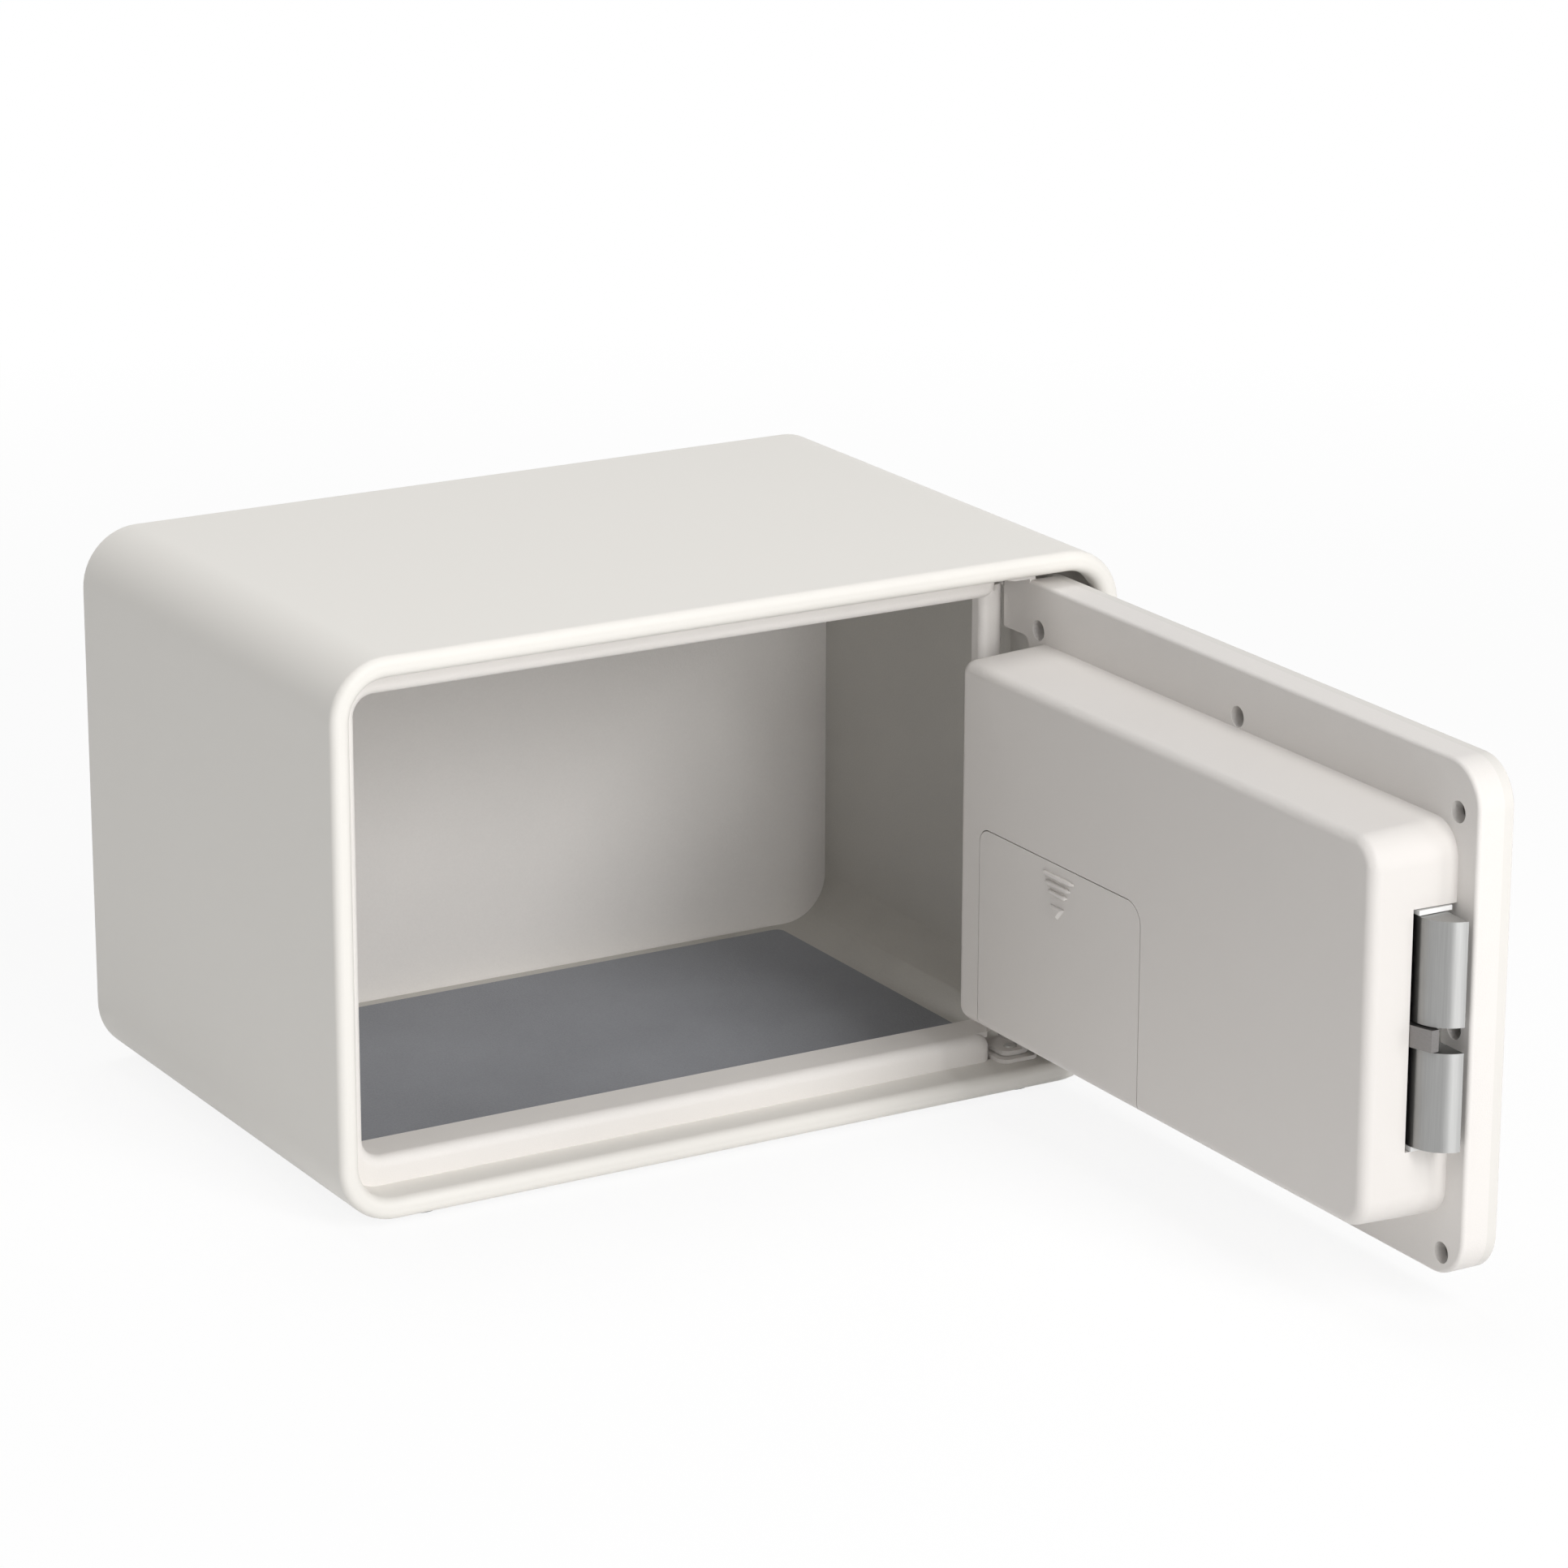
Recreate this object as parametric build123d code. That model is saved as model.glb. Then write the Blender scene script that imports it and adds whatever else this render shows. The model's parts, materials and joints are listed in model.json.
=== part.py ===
from build123d import *
from math import acos, cos, hypot, pi, radians, sin, sqrt, tan
import os

# A small electronic safe, shown with its door open a quarter turn.
# Millimetres. X to the right, Y into the safe, Z up from the underside of the steel.
# The door and all it carries are drawn closed, then turned about the hinge line.

# Cabinet
body_width = 310.0
body_depth = 200.0
body_height = 198.0
body_wall = 3.0
corner_radius = 21.0
rim_width = 7.5
rim_depth = 17.0
hinge_rim_depth = 7.0
hinge_pocket_past_hinge = 17.0
rim_outer_round = 3.0
rim_inner_round = 3.5
floor_bolt_spacing = 150.0
floor_bolt_hole_r = 5.5
foot_height = 2.0
foot_r = 8.0
foot_from_side = 35.0
foot_from_front = 14.0

# Doorway frame behind the rim
frame_recess = 15.0
frame_sheet = 2.0
frame_bend = 4.0
frame_flange = 18.0
frame_face_side = 9.0
frame_face_height = 9.8
doorway_corner = 7.0
frame_end_round = 5.0
strike_margin = 2.2

# Hinge line and its fixed parts
hinge_from_rim = 25.5
hinge_behind_door = 2.1
frame_end_from_hinge = 8.6
ear_swing_r = 8.6
ledge_short_of_hinge = 1.0
pillar_gap = 2.2
pillar_width = 9.8
pillar_behind_hinge = 12.6
pillar_flange = 6.5
bracket_sheet = 1.5
bracket_corner = 4.0
bracket_front = 8.0
bracket_back = 10.5
bracket_half_width = 8.2
hinge_pin_r = 2.5
hinge_pin_clearance = 0.05
hinge_pin_point = 0.5
washer_r = 5.0
washer_thickness = 0.3
washer_clearance = 0.1

# Door
door_recess = 0.5
door_gap = 3.0
door_gap_height = 3.9
door_thickness = 14.0
panel_thickness = 4.0
panel_past_hinge = 22.2
pan_sheet = 2.5
pan_short_of_hinge = 5.1
door_free_corner = 15.5
panel_hinge_corner = 12.0
door_edge_round = 1.4
panel_edge_round = 0.8
lug_past_hinge = 11.4
lug_height = 20.7
lug_root_round = 3.0
lug_tip_round = 1.0
ear_sheet = 1.6
ear_above_door = 1.9
ear_behind_hinge = 5.9
ear_corner = 3.0

# Fixings of the door
screw_recess_r = 3.7
cup_wall = 1.2
cup_depth = 7.0
screw_head_r = 3.1
screw_head_height = 2.2
screw_shank_r = 1.7
screw_hole_r = 2.0
screw_stud_r = 3.4
screw_rows_from_top = 17.1
screw_rows_from_bottom = 8.0
screw_from_free_end = 10.9
screw_from_hinge = 11.2
middle_screw_from_free_end = 8.9

# Lock cover on the inner face
cover_depth = 32.5
cover_wall = 2.5
cover_draft = 2.8
cover_free_corner = 12.0
cover_hinge_corner = 6.5
cover_edge_round = 4.0
cover_free_gap = 3.9
cover_hinge_gap = 1.5
cover_bottom = 30.3
cover_top = 165.6
cover_boss_r = 3.5
cover_boss_inset = 12.0
cover_hinge_boss_inset = 10.0
cover_screw_r = 1.5
cover_screw_depth = 8.0
cover_screw_head_r = 2.8
cover_screw_head_height = 2.0

# Battery cover
battery_cover_width = 100.5
battery_cover_from_hinge_side = 15.5
battery_cover_rise = 75.6
battery_cover_start = 20.0
battery_cover_gap = 0.4
battery_cover_corner = 5.5
battery_cover_free_corner = 8.0
grip_rib_lengths = (19.1, 15.4, 11.4)
grip_rib_width = 1.0
grip_rib_pitch = 3.0
grip_rib_height = 0.4
grip_below_top = 4.4
arrow_width = 8.5
arrow_side = 6.2
arrow_below_ribs = 3.0
tongue_width = 36.0
tongue_root = 8.0
tongue_length = 6.0
tongue_thickness = 1.2
tongue_gap = 0.2

# Batteries
cell_r = 7.1
cell_length = 49.3
cell_edge = 0.6
cell_nub = 1.2
cell_nub_r = 2.75
cell_pitch = 15.2
cell_count = 4
cell_centre_depth = 20.0
cells_above_cover_bottom = 10.3
tray_wall = 1.6
tray_gap = 0.1
tray_rim_depth = 28.2
tray_rib = 0.6
tray_rib_below_rim = 9.0
tray_rib_clear = 5.0
tray_post_r = 3.0
tray_post_inset = 5.5
contact_space = 3.8
contact_plate = 0.5
contact_half = 5.5
contact_cone_r = 4.0
contact_cone_tip_r = 2.2
contact_dimple_r = 2.0

# Bolt and its drive
bolt_bottom = 59.2
bolt_top = 137.2
bolt_flat = 3.9
bolt_root = 14.5
bolt_nose_r = 12.6
bolt_nose_depth = 1.93
bolt_nose_inside = 0.65
bolt_inside = 16.0
bolt_travel = 11.8
bolt_notch_bottom = 92.9
bolt_notch_top = 101.6
bolt_notch_floor = 10.5
carriage_thickness = 3.0
carriage_bottom = 80.0
carriage_length = 58.0
bolt_window_margin = 2.2
bolt_window_raise = 0.2
bolt_window_depth = 16.4
gear_module = 1.0
plug_teeth = 15
pinion_teeth = 12
gear_addendum = 0.8
gear_dedendum = 1.05
gear_backlash = 0.25
pressure_angle = 20.0
gear_face = 3.6
gear_depth = 4.2
rack_first_tooth = -2
rack_teeth = 9
drive_from_free_wall = 39.6
rack_line = 112.0

# Trigger
trigger_bottom = 93.5
trigger_top = 101.0
trigger_floor = 11.0
trigger_root = 16.3
trigger_tip_depth = 13.9
trigger_reach = 7.8
trigger_length = 34.0

# Inner lock parts
chassis_sheet = 1.5
chassis_length = 104.0
chassis_inset = 5.5
chassis_margin = 9.0
chassis_corner = 3.0
spring_tab_depth = 10.0
spring_tab_half = 6.0
guide_wall = 1.6
guide_clearance = 0.2
guide_floor_depth = 3.6
guide_floor = 2.0
guide_length = 53.6
guide_post_depth = 18.0
guide_post_rise = 5.0
guide_over_tail = 0.5
guide_under_tail = 1.0
spring_wire = 0.35
bolt_spring_r = 2.4
trigger_spring_r = 2.2
bolt_spring_length = 24.0
trigger_spring_length = 24.0
spring_turns = 6
spring_above_carriage = 16.0
spring_pin_r = 1.5
spring_pin_length = 4.0
gearbox_depth = 9.0
gearbox_thickness = 8.0
gearbox_free_side = 9.0
gearbox_hinge_side = 21.0
gearbox_below_shaft = 10.0
gearbox_above_shaft = 11.0
gearbox_corner = 2.0
motor_can_r = 10.0
motor_can_across = 9.0
motor_can_above = 0.5
motor_top = 29.0
motor_edge = 1.2
motor_foot_gap = 0.5
motor_foot_inset = 2.0
motor_shaft_r = 1.5
motor_shaft_clearance = 0.05
motor_shaft_length = 4.0
switch_length = 20.0
switch_height = 10.0
switch_thickness = 6.5
switch_past_tail = 4.0
switch_below_tail = 3.0
switch_hole_r = 1.2
switch_hole_inset = 5.0
switch_hole_rise = 3.0
switch_pin = 1.0
switch_pin_length = 4.0
switch_lever = 0.4
switch_lever_rise = 1.2
switch_lever_width = 3.3
board_thickness = 1.6
main_board_depth = 12.0
main_board_from_free_side = 84.6
main_board_from_hinge_side = 17.9
main_board_above_batteries = 6.1
main_board_below_top = 7.6
main_board_post_r = 2.5
main_board_post_inset = 5.0
chip_size = 12.0
chip_height = 1.8
chip_from_end = 30.0
chip_from_bottom = 16.0
capacitor_r = 3.0
capacitor_height = 9.0
capacitor_count = 3
capacitor_pitch = 12.0
capacitors_from_end = 48.0
capacitors_from_bottom = 28.0
power_socket_width = 14.0
power_socket_height = 6.0
power_socket_from_end = 20.0
power_socket_from_top = 4.0
cable_above_board_bottom = 16.0
cable_socket_margin = 2.0
cable_socket_depth = 3.0
cable_socket_half = 3.5

# Keypad on the outside of the door
keypad_from_hinge = 112.0
keypad_width = 70.0
keypad_height = 100.0
keypad_stand = 4.0
keypad_corner = 8.0
keypad_edge_round = 1.4
bezel_wall = 3.0
bezel_web = 1.5
keys_from_side = 16.0
keys_from_bottom = 17.5
keys_from_top = 31.5
key_space_x = 5.0
key_space_z = 6.0
key_corner = 1.9
key_edge_round = 0.8
key_proud = 1.5
key_gap = 0.35
key_flange = 0.9
key_flange_margin = 1.0
key_rows = (("1", "2", "3"), ("4", "5", "6"), ("7", "8", "9"), ("star", "0", "hash"))
lens_from_top = 14.0
lens_r = 3.2
lens_proud = 0.6
lens_edge = 0.4
lens_flange = 1.0
lens_flange_margin = 1.2
mat_thickness = 0.8
keypad_pocket = 1.8
keypad_pocket_margin = 4.0
keypad_pocket_corner = 3.0
keypad_board_gap = 0.2
cable_width = 10.0
cable_thickness = 1.0
cable_slot_margin = 2.0

# Emergency lock
barrel_r = 8.0
barrel_flange_r = 10.0
barrel_flange = 1.5
barrel_edge = 0.4
barrel_bore_end = 5.0
plug_r = 4.95
plug_clearance = 0.05
plug_recess = 0.2
plug_tail_r = 3.0
plug_tail_clearance = 0.5
key_slot_width = 1.6
key_slot_height = 7.0
key_slot_depth = 12.0
flap_thickness = 2.5
flap_pivot_above = 17.5
flap_pivot_r = 2.0
flap_top_r = 7.0
flap_bottom_r = 12.0
flap_edge_round = 1.0
flap_gap = 0.5
flap_play = 0.1
flap_shoulder_r = 3.2
flap_head_r = 3.6
flap_head = 1.2
flap_head_edge = 0.5

# Interior mat
mat_half_width = 126.0
mat_front = 36.0
mat_back = 187.0
mat_height = 2.5
mat_corner = 4.0
mat_edge_round = 0.8

# Places worked out from the sizes above
front = -body_depth / 2
back = body_depth / 2
middle_z = body_height / 2
rim_x = body_width / 2 - rim_width
doorway_left = -rim_x + frame_face_side
doorway_bottom = rim_width + frame_face_height
doorway_top = body_height - doorway_bottom
frame_y = front + frame_recess
door_front = front + door_recess
door_back = door_front + door_thickness
panel_back = door_front + panel_thickness
door_left = -rim_x + door_gap
door_bottom = rim_width + door_gap_height
door_top = body_height - door_bottom
hinge_x = rim_x - hinge_from_rim
hinge_y = door_back + hinge_behind_door
pan_right = hinge_x - pan_short_of_hinge
panel_right = hinge_x + panel_past_hinge
frame_end = hinge_x - frame_end_from_hinge
ear_top = door_top + ear_above_door
pillar_x = frame_end + pillar_gap
pillar_y = hinge_y + pillar_behind_hinge
bracket_bottom = ear_top + washer_thickness + washer_clearance
cover_left = doorway_left + cover_free_gap
cover_right = frame_end - cover_hinge_gap
cover_y = door_back + cover_depth
drive_x = cover_left + drive_from_free_wall
plug_z = rack_line + gear_module * plug_teeth / 2
pinion_z = plug_z + gear_module * (plug_teeth + pinion_teeth) / 2
bolt_y = door_back + bolt_flat
bolt_end = cover_left + bolt_inside
bolt_root_y = door_back + bolt_root
carriage_end = bolt_end + carriage_length
spring_z = carriage_bottom + spring_above_carriage
trigger_z = (trigger_bottom + trigger_top) / 2
trigger_y = door_back + (trigger_floor + trigger_root) / 2
trigger_end = cover_left - trigger_reach + trigger_length
flap_z = plug_z + flap_pivot_above
battery_cover_right = cover_right - battery_cover_from_hinge_side
battery_cover_left = battery_cover_right - battery_cover_width
battery_cover_top = cover_bottom + battery_cover_rise
battery_middle = (battery_cover_left + battery_cover_right) / 2
cells_bottom = cover_bottom + cells_above_cover_bottom
tray_bottom = cells_bottom - contact_space - 1.25 * tray_wall
tray_top = cells_bottom + cell_length + cell_nub + contact_space + tray_wall
tray_half = cell_count * cell_pitch / 2 + tray_wall + 0.2
main_board_left = cover_left + main_board_from_free_side
main_board_right = cover_right - main_board_from_hinge_side
main_board_bottom = battery_cover_top + main_board_above_batteries
main_board_top = cover_top - main_board_below_top
keypad_x = hinge_x - keypad_from_hinge
keypad_z = middle_z
keypad_front = door_front - keypad_stand
key_pitch_x = keypad_width / 2 - keys_from_side
key_pitch_z = (keypad_height - keys_from_bottom - keys_from_top) / (len(key_rows) - 1)
key_width = key_pitch_x - key_space_x
key_height = key_pitch_z - key_space_z
lens_z = keypad_z + keypad_height / 2 - lens_from_top
cable_z = main_board_bottom + cable_above_board_bottom


def block(x0, x1, y0, y1, z0, z1):
    """A box between two corners."""
    centre = Pos((x0 + x1) / 2, (y0 + y1) / 2, (z0 + z1) / 2)
    return centre * Box(x1 - x0, y1 - y0, z1 - z0)


def panel(x0, x1, z0, z1):
    """A rectangle seen from the front."""
    return Pos((x0 + x1) / 2, (z0 + z1) / 2) * Rectangle(x1 - x0, z1 - z0)


def along_y(outline, y0, y1):
    """An outline seen from the front, carried from depth y0 to y1."""
    return extrude(Plane.XZ.offset(-y0) * outline, -(y1 - y0))


def rod_y(x, z, r, y0, y1):
    """A round bar along Y."""
    return along_y(Pos(x, z) * Circle(r), y0, y1)


def rod_z(x, y, r, z0, z1):
    """A round bar along Z."""
    return Pos(x, y, (z0 + z1) / 2) * Cylinder(r, z1 - z0)


def rounded(outline, x, r):
    """The outline with its corners at this x rounded."""
    corners = outline.vertices().filter_by_position(Axis.X, x - 0.01, x + 0.01)
    return fillet(corners, r)


def edges_at_y(solid, y):
    return solid.edges().filter_by_position(Axis.Y, y - 0.01, y + 0.01)


def upside_down(shape):
    """The same part at the other end of the hinge line."""
    return mirror(shape, Plane.XY.offset(middle_z))


def cabinet_outline(inset):
    """The cabinet's rounded outline, moved inwards all round."""
    width = body_width - 2 * inset
    height = body_height - 2 * inset
    return Pos(0, middle_z) * RectangleRounded(width, height, corner_radius - inset)


def on_cabinet_outline(point, inset):
    """Whether a point lies on the cabinet's outline moved inwards."""
    dx = abs(point.X) - (body_width / 2 - corner_radius)
    dz = abs(point.Z - middle_z) - (body_height / 2 - corner_radius)
    reach = hypot(max(dx, 0), max(dz, 0)) + min(max(dx, dz), 0)
    return abs(reach - (corner_radius - inset)) < 0.1


def body_shell():
    """The wrapped steel body with its rolled front rim and the two floor bolt holes."""
    shell = along_y(cabinet_outline(0), front, back)
    shell = fillet(edges_at_y(shell, front), rim_outer_round)
    shell -= along_y(cabinet_outline(rim_width), front - 1, front + rim_depth)
    mouth = [e for e in edges_at_y(shell, front) if on_cabinet_outline(e @ 0.5, rim_width)]
    shell = fillet(mouth, rim_inner_round)
    shell -= along_y(cabinet_outline(body_wall), front + rim_depth, back + 1)
    hinge_pocket = along_y(cabinet_outline(body_wall), front + hinge_rim_depth, front + rim_depth)
    pocket_start = hinge_x + hinge_pocket_past_hinge
    shell -= hinge_pocket & block(pocket_start, body_width, front, back, 0, body_height)
    for side in (-1, 1):
        x = side * floor_bolt_spacing / 2
        shell -= rod_z(x, 0, floor_bolt_hole_r, -1, body_wall + 1)
    return shell


def back_plate():
    return along_y(cabinet_outline(body_wall), back - body_wall, back)


def frame_outline(step):
    """The three-sided doorway frame, with its doorway edge moved back by a step."""
    sheet = cabinet_outline(rim_width) & panel(-body_width / 2, frame_end - step, 0, body_height)
    doorway = panel(doorway_left - step, frame_end + 1, doorway_bottom - step, doorway_top + step)
    doorway = rounded(doorway, doorway_left - step, doorway_corner + step)
    frame = sheet - doorway
    tips = frame.vertices().filter_by_position(Axis.X, frame_end - step - 0.01, frame_end - step + 0.01)
    tips = [v for v in tips if doorway_bottom - step - 0.1 < v.Y < doorway_top + step + 0.1]
    return fillet(tips, frame_end_round - step)


def frame_solid(step, y0, y1, bend):
    """The frame's outline as a thick block with its doorway edge bent round."""
    solid = along_y(frame_outline(step), y0, y1)
    edges = [e for e in edges_at_y(solid, y0) if not on_cabinet_outline(e @ 0.5, rim_width)]
    return fillet(edges, bend)


def hinge_ledge():
    """The upper flange's run past the hinge, cut back round the ear's swing."""
    z0, z1 = doorway_top, doorway_top + frame_sheet
    back_y = frame_y + frame_flange
    end_x = hinge_x - ledge_short_of_hinge
    ledge = block(frame_end - frame_end_round - 1, end_x, frame_y + frame_bend, back_y, z0, z1)
    ledge += block(end_x - 1, pillar_x + pillar_width, pillar_y, pillar_y + pillar_flange, z0, z1)
    return ledge - rod_z(hinge_x, hinge_y, ear_swing_r, z0 - 1, z1 + 1)


def front_frame():
    """The pressed frame that the door shuts against, with the slot that the bolt enters."""
    back_y = frame_y + frame_flange
    outside = frame_solid(0, frame_y, back_y, frame_bend)
    inside = frame_solid(frame_sheet, frame_y + frame_sheet, back_y + 1, frame_bend - frame_sheet)
    ledge = hinge_ledge()
    frame = outside - inside + [ledge, upside_down(ledge)]
    slot_bottom = bolt_bottom - strike_margin
    slot_top = bolt_top + strike_margin
    slot_y = frame_y + frame_bend / 2 + 0.5
    return frame - block(-rim_x, doorway_left + 1, slot_y, back_y + 1, slot_bottom, slot_top)


def hinge_pillar():
    """The upright channel behind the hinge, between the frame's two ledges."""
    x1 = pillar_x + pillar_width
    y1 = pillar_y + pillar_flange
    outside = block(pillar_x, x1, pillar_y, y1, doorway_bottom, doorway_top)
    uprights = edges_at_y(outside, pillar_y).filter_by(Axis.Z).sort_by(Axis.X)
    outside = fillet(uprights[1], frame_bend)
    uprights = edges_at_y(outside, pillar_y).filter_by(Axis.Z).sort_by(Axis.X)
    outside = fillet(uprights[0], frame_sheet + 1)
    inner_y = pillar_y + frame_sheet
    height = (doorway_bottom, doorway_top)
    return outside - block(pillar_x + frame_sheet, x1 - frame_sheet, inner_y, y1 + 1, *height)


def upper_hinge_bracket():
    """An angle welded under the roof, with a leaf that holds the pin."""
    x0, x1 = hinge_x - bracket_half_width, hinge_x + bracket_half_width
    y0, y1 = hinge_y - bracket_front, hinge_y + bracket_back
    leaf_top = bracket_bottom + bracket_sheet
    bracket = block(x0, x1, y0, y1, bracket_bottom, leaf_top)
    bracket = fillet(edges_at_y(bracket, y0).filter_by(Axis.Z), bracket_corner)
    bracket += block(x0, x1, y1 - bracket_sheet, y1, leaf_top, body_height - body_wall)
    bend = edges_at_y(bracket, y1).filter_by(Axis.X).sort_by(Axis.Z)[0]
    bracket = fillet(bend, bracket_sheet)
    return bracket - rod_z(hinge_x, hinge_y, hinge_pin_r, bracket_bottom - 1, body_height)


def lower_hinge_bracket():
    return upside_down(upper_hinge_bracket())


def hinge_pins():
    """Two pins fixed in the brackets, with pointed ends in the door's ears."""
    tip = ear_top - ear_sheet - hinge_pin_point
    pin = rod_z(hinge_x, hinge_y, hinge_pin_r, tip, bracket_bottom + bracket_sheet)
    pin = chamfer(pin.edges().sort_by(Axis.Z)[0], hinge_pin_point)
    return [pin, upside_down(pin)]


def hinge_washers():
    """Two thin washers against the brackets, which the door's ears turn on."""
    washer = rod_z(hinge_x, hinge_y, washer_r, bracket_bottom - washer_thickness, bracket_bottom)
    washer -= rod_z(hinge_x, hinge_y, hinge_pin_r + washer_clearance, ear_top, bracket_bottom + 1)
    return [washer, upside_down(washer)]


def floor_mat():
    mat_y = front + mat_front
    mat_top = body_wall + mat_height
    mat = block(-mat_half_width, mat_half_width, mat_y, front + mat_back, body_wall, mat_top)
    mat = fillet(mat.edges().filter_by(Axis.Z), mat_corner)
    return fillet(mat.faces().sort_by(Axis.Z)[-1].edges(), mat_edge_round)


def rubber_feet():
    feet = []
    for side_x in (-1, 1):
        for side_y in (-1, 1):
            x = side_x * (body_width / 2 - foot_from_side)
            y = side_y * (body_depth / 2 - foot_from_front)
            foot = rod_z(x, y, foot_r, -foot_height, 0)
            feet.append(chamfer(foot.edges().sort_by(Axis.Z)[0], foot_height / 4))
    return feet


def screw_places():
    """Where the inner pan is screwed to the front panel, in x and z."""
    x_free = door_left + screw_from_free_end
    x_hinge = hinge_x - screw_from_hinge
    places = []
    for x in (x_free, (x_free + x_hinge) / 2, x_hinge):
        places.append((x, door_top - screw_rows_from_top))
        places.append((x, door_bottom + screw_rows_from_bottom))
    places.append((door_left + middle_screw_from_free_end, (bolt_notch_bottom + bolt_notch_top) / 2))
    return places


def cover_screw_places():
    """Where screws hold the lock cover from behind, in x and z."""
    xs = (cover_left + cover_boss_inset, cover_right - cover_hinge_boss_inset)
    zs = (cover_bottom + cover_boss_inset, cover_top - cover_boss_inset)
    return [(x, z) for x in xs for z in zs]


def key_places():
    """The name and the middle of each key, in x and z."""
    places = []
    for row, names in enumerate(key_rows):
        for column, name in enumerate(names):
            x = keypad_x + (column - 1) * key_pitch_x
            z = keypad_z + keypad_height / 2 - keys_from_top - row * key_pitch_z
            places.append((name, x, z))
    return places


def cable_slot():
    """The slot that the flat cable passes through."""
    half = cable_width / 2 + cable_slot_margin
    return panel(keypad_x - half, keypad_x + half, cable_z - cable_slot_margin, cable_z + cable_slot_margin)


def keypad_outline(inset, corner):
    """The keypad's rounded outline, moved inwards all round."""
    outline = RectangleRounded(keypad_width - 2 * inset, keypad_height - 2 * inset, corner)
    return Pos(keypad_x, keypad_z) * outline


def door_front_panel():
    """The thick outer plate, with a pocket for the keypad and a hole for the lock."""
    plate = panel(door_left, panel_right, door_bottom, door_top)
    plate = rounded(plate, door_left, door_free_corner)
    plate = rounded(plate, panel_right, panel_hinge_corner)
    plate = along_y(plate, door_front, panel_back)
    plate = fillet(edges_at_y(plate, door_front), panel_edge_round)
    for x, z in screw_places():
        stud_end = door_back - cup_depth
        plate += rod_y(x, z, screw_stud_r, panel_back, stud_end)
        plate -= rod_y(x, z, screw_shank_r, door_front + panel_thickness / 2 - 0.5, stud_end + 1)
    pocket = keypad_outline(keypad_pocket_margin, keypad_pocket_corner)
    plate -= along_y(pocket, door_front - 1, door_front + keypad_pocket)
    plate -= along_y(cable_slot(), door_front, panel_back + 1)
    plate -= rod_y(drive_x, plug_z, barrel_r, door_front - 1, panel_back + 1)
    return plate - rod_y(drive_x, flap_z, flap_pivot_r, door_front - 1, panel_back + 1)


def hinge_ear():
    """The upper ear: the inner face runs past the pan's end and bends back over the pin."""
    x1 = hinge_x + lug_past_hinge
    lug_bottom = door_top - lug_height
    sheet_y = door_back - pan_sheet
    ear_y = hinge_y + ear_behind_hinge
    lug = panel(pan_right, x1, lug_bottom, ear_top)
    lug = fillet(lug.vertices().sort_by(Axis.Y)[:2].sort_by(Axis.X)[-1], lug_tip_round)
    root_x, root_z = pan_right + lug_root_round, lug_bottom - lug_root_round
    lug += panel(pan_right, root_x, root_z, lug_bottom) - Pos(root_x, root_z) * Circle(lug_root_round)
    top = block(pan_right, x1, sheet_y, ear_y, ear_top - ear_sheet, ear_top)
    top = fillet(edges_at_y(top, ear_y).filter_by(Axis.Z), ear_corner)
    ear = along_y(lug, sheet_y, door_back) + top
    bend = edges_at_y(ear, sheet_y).filter_by(Axis.X).sort_by(Axis.Z)[-1]
    return fillet(bend, ear_sheet)


def door_inner_pan():
    """The pressed inner pan, with drawn screw cups and the two hinge ears."""
    outline = rounded(panel(door_left, pan_right, door_bottom, door_top), door_left, door_free_corner)
    pan = along_y(outline, panel_back, door_back)
    rim = [e for e in edges_at_y(pan, door_back) if (e @ 0.5).X < pan_right - 0.1]
    pan = fillet(rim, door_edge_round)
    x0, x1 = door_left + pan_sheet, pan_right - pan_sheet
    hollow = panel(x0, x1, door_bottom + pan_sheet, door_top - pan_sheet)
    hollow = rounded(hollow, x0, door_free_corner - pan_sheet)
    pan -= along_y(hollow, panel_back - 1, door_back - pan_sheet)
    ear = hinge_ear()
    pan += [ear, upside_down(ear)]
    hole = rod_z(hinge_x, hinge_y, hinge_pin_r + hinge_pin_clearance, ear_top - ear_sheet - 1, ear_top + 1)
    pan -= [hole, upside_down(hole)]
    for x, z in screw_places():
        cup_end = door_back - cup_depth
        pan += rod_y(x, z, screw_recess_r + cup_wall, cup_end, door_back - pan_sheet)
        pan -= rod_y(x, z, screw_recess_r, cup_end + cup_wall, door_back + 1)
        pan -= rod_y(x, z, screw_hole_r, cup_end - 1, door_back)
    for x, z in cover_screw_places():
        pan -= rod_y(x, z, cover_screw_r + 0.1, panel_back, door_back + 1)
    pan -= along_y(cable_slot(), panel_back, door_back + 1)
    return pan - rod_y(drive_x, plug_z, barrel_r, panel_back, door_back + 1)


def recessed_screw(x, z, seat, length):
    """A cross-head screw put in from the inner side, its head's underside at the seat."""
    top = seat + screw_head_height
    head = rod_y(x, z, screw_head_r, seat, top)
    head = chamfer(edges_at_y(head, top), screw_head_height * 0.4)
    screw = head + rod_y(x, z, screw_shank_r, seat - length, seat)
    for turn in (0, 90):
        arm = Pos(x, z) * Rot(0, 0, turn) * Rectangle(screw_head_r * 1.1, screw_head_r * 0.28)
        screw -= along_y(arm, top - screw_head_height * 0.55, top + 1)
    return screw


def door_screws():
    seat = door_back - cup_depth + cup_wall
    length = seat - door_front - panel_thickness / 2
    return [recessed_screw(x, z, seat, length) for x, z in screw_places()]


def cover_screws():
    """Screws from inside the pan into the lock cover's posts."""
    screws = []
    seat = door_back - pan_sheet
    for x, z in cover_screw_places():
        head = rod_y(x, z, cover_screw_head_r, seat - cover_screw_head_height, seat)
        head = chamfer(edges_at_y(head, seat - cover_screw_head_height), cover_screw_head_height * 0.4)
        screws.append(head + rod_y(x, z, cover_screw_r, seat, door_back + cover_screw_depth))
    return screws


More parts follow.
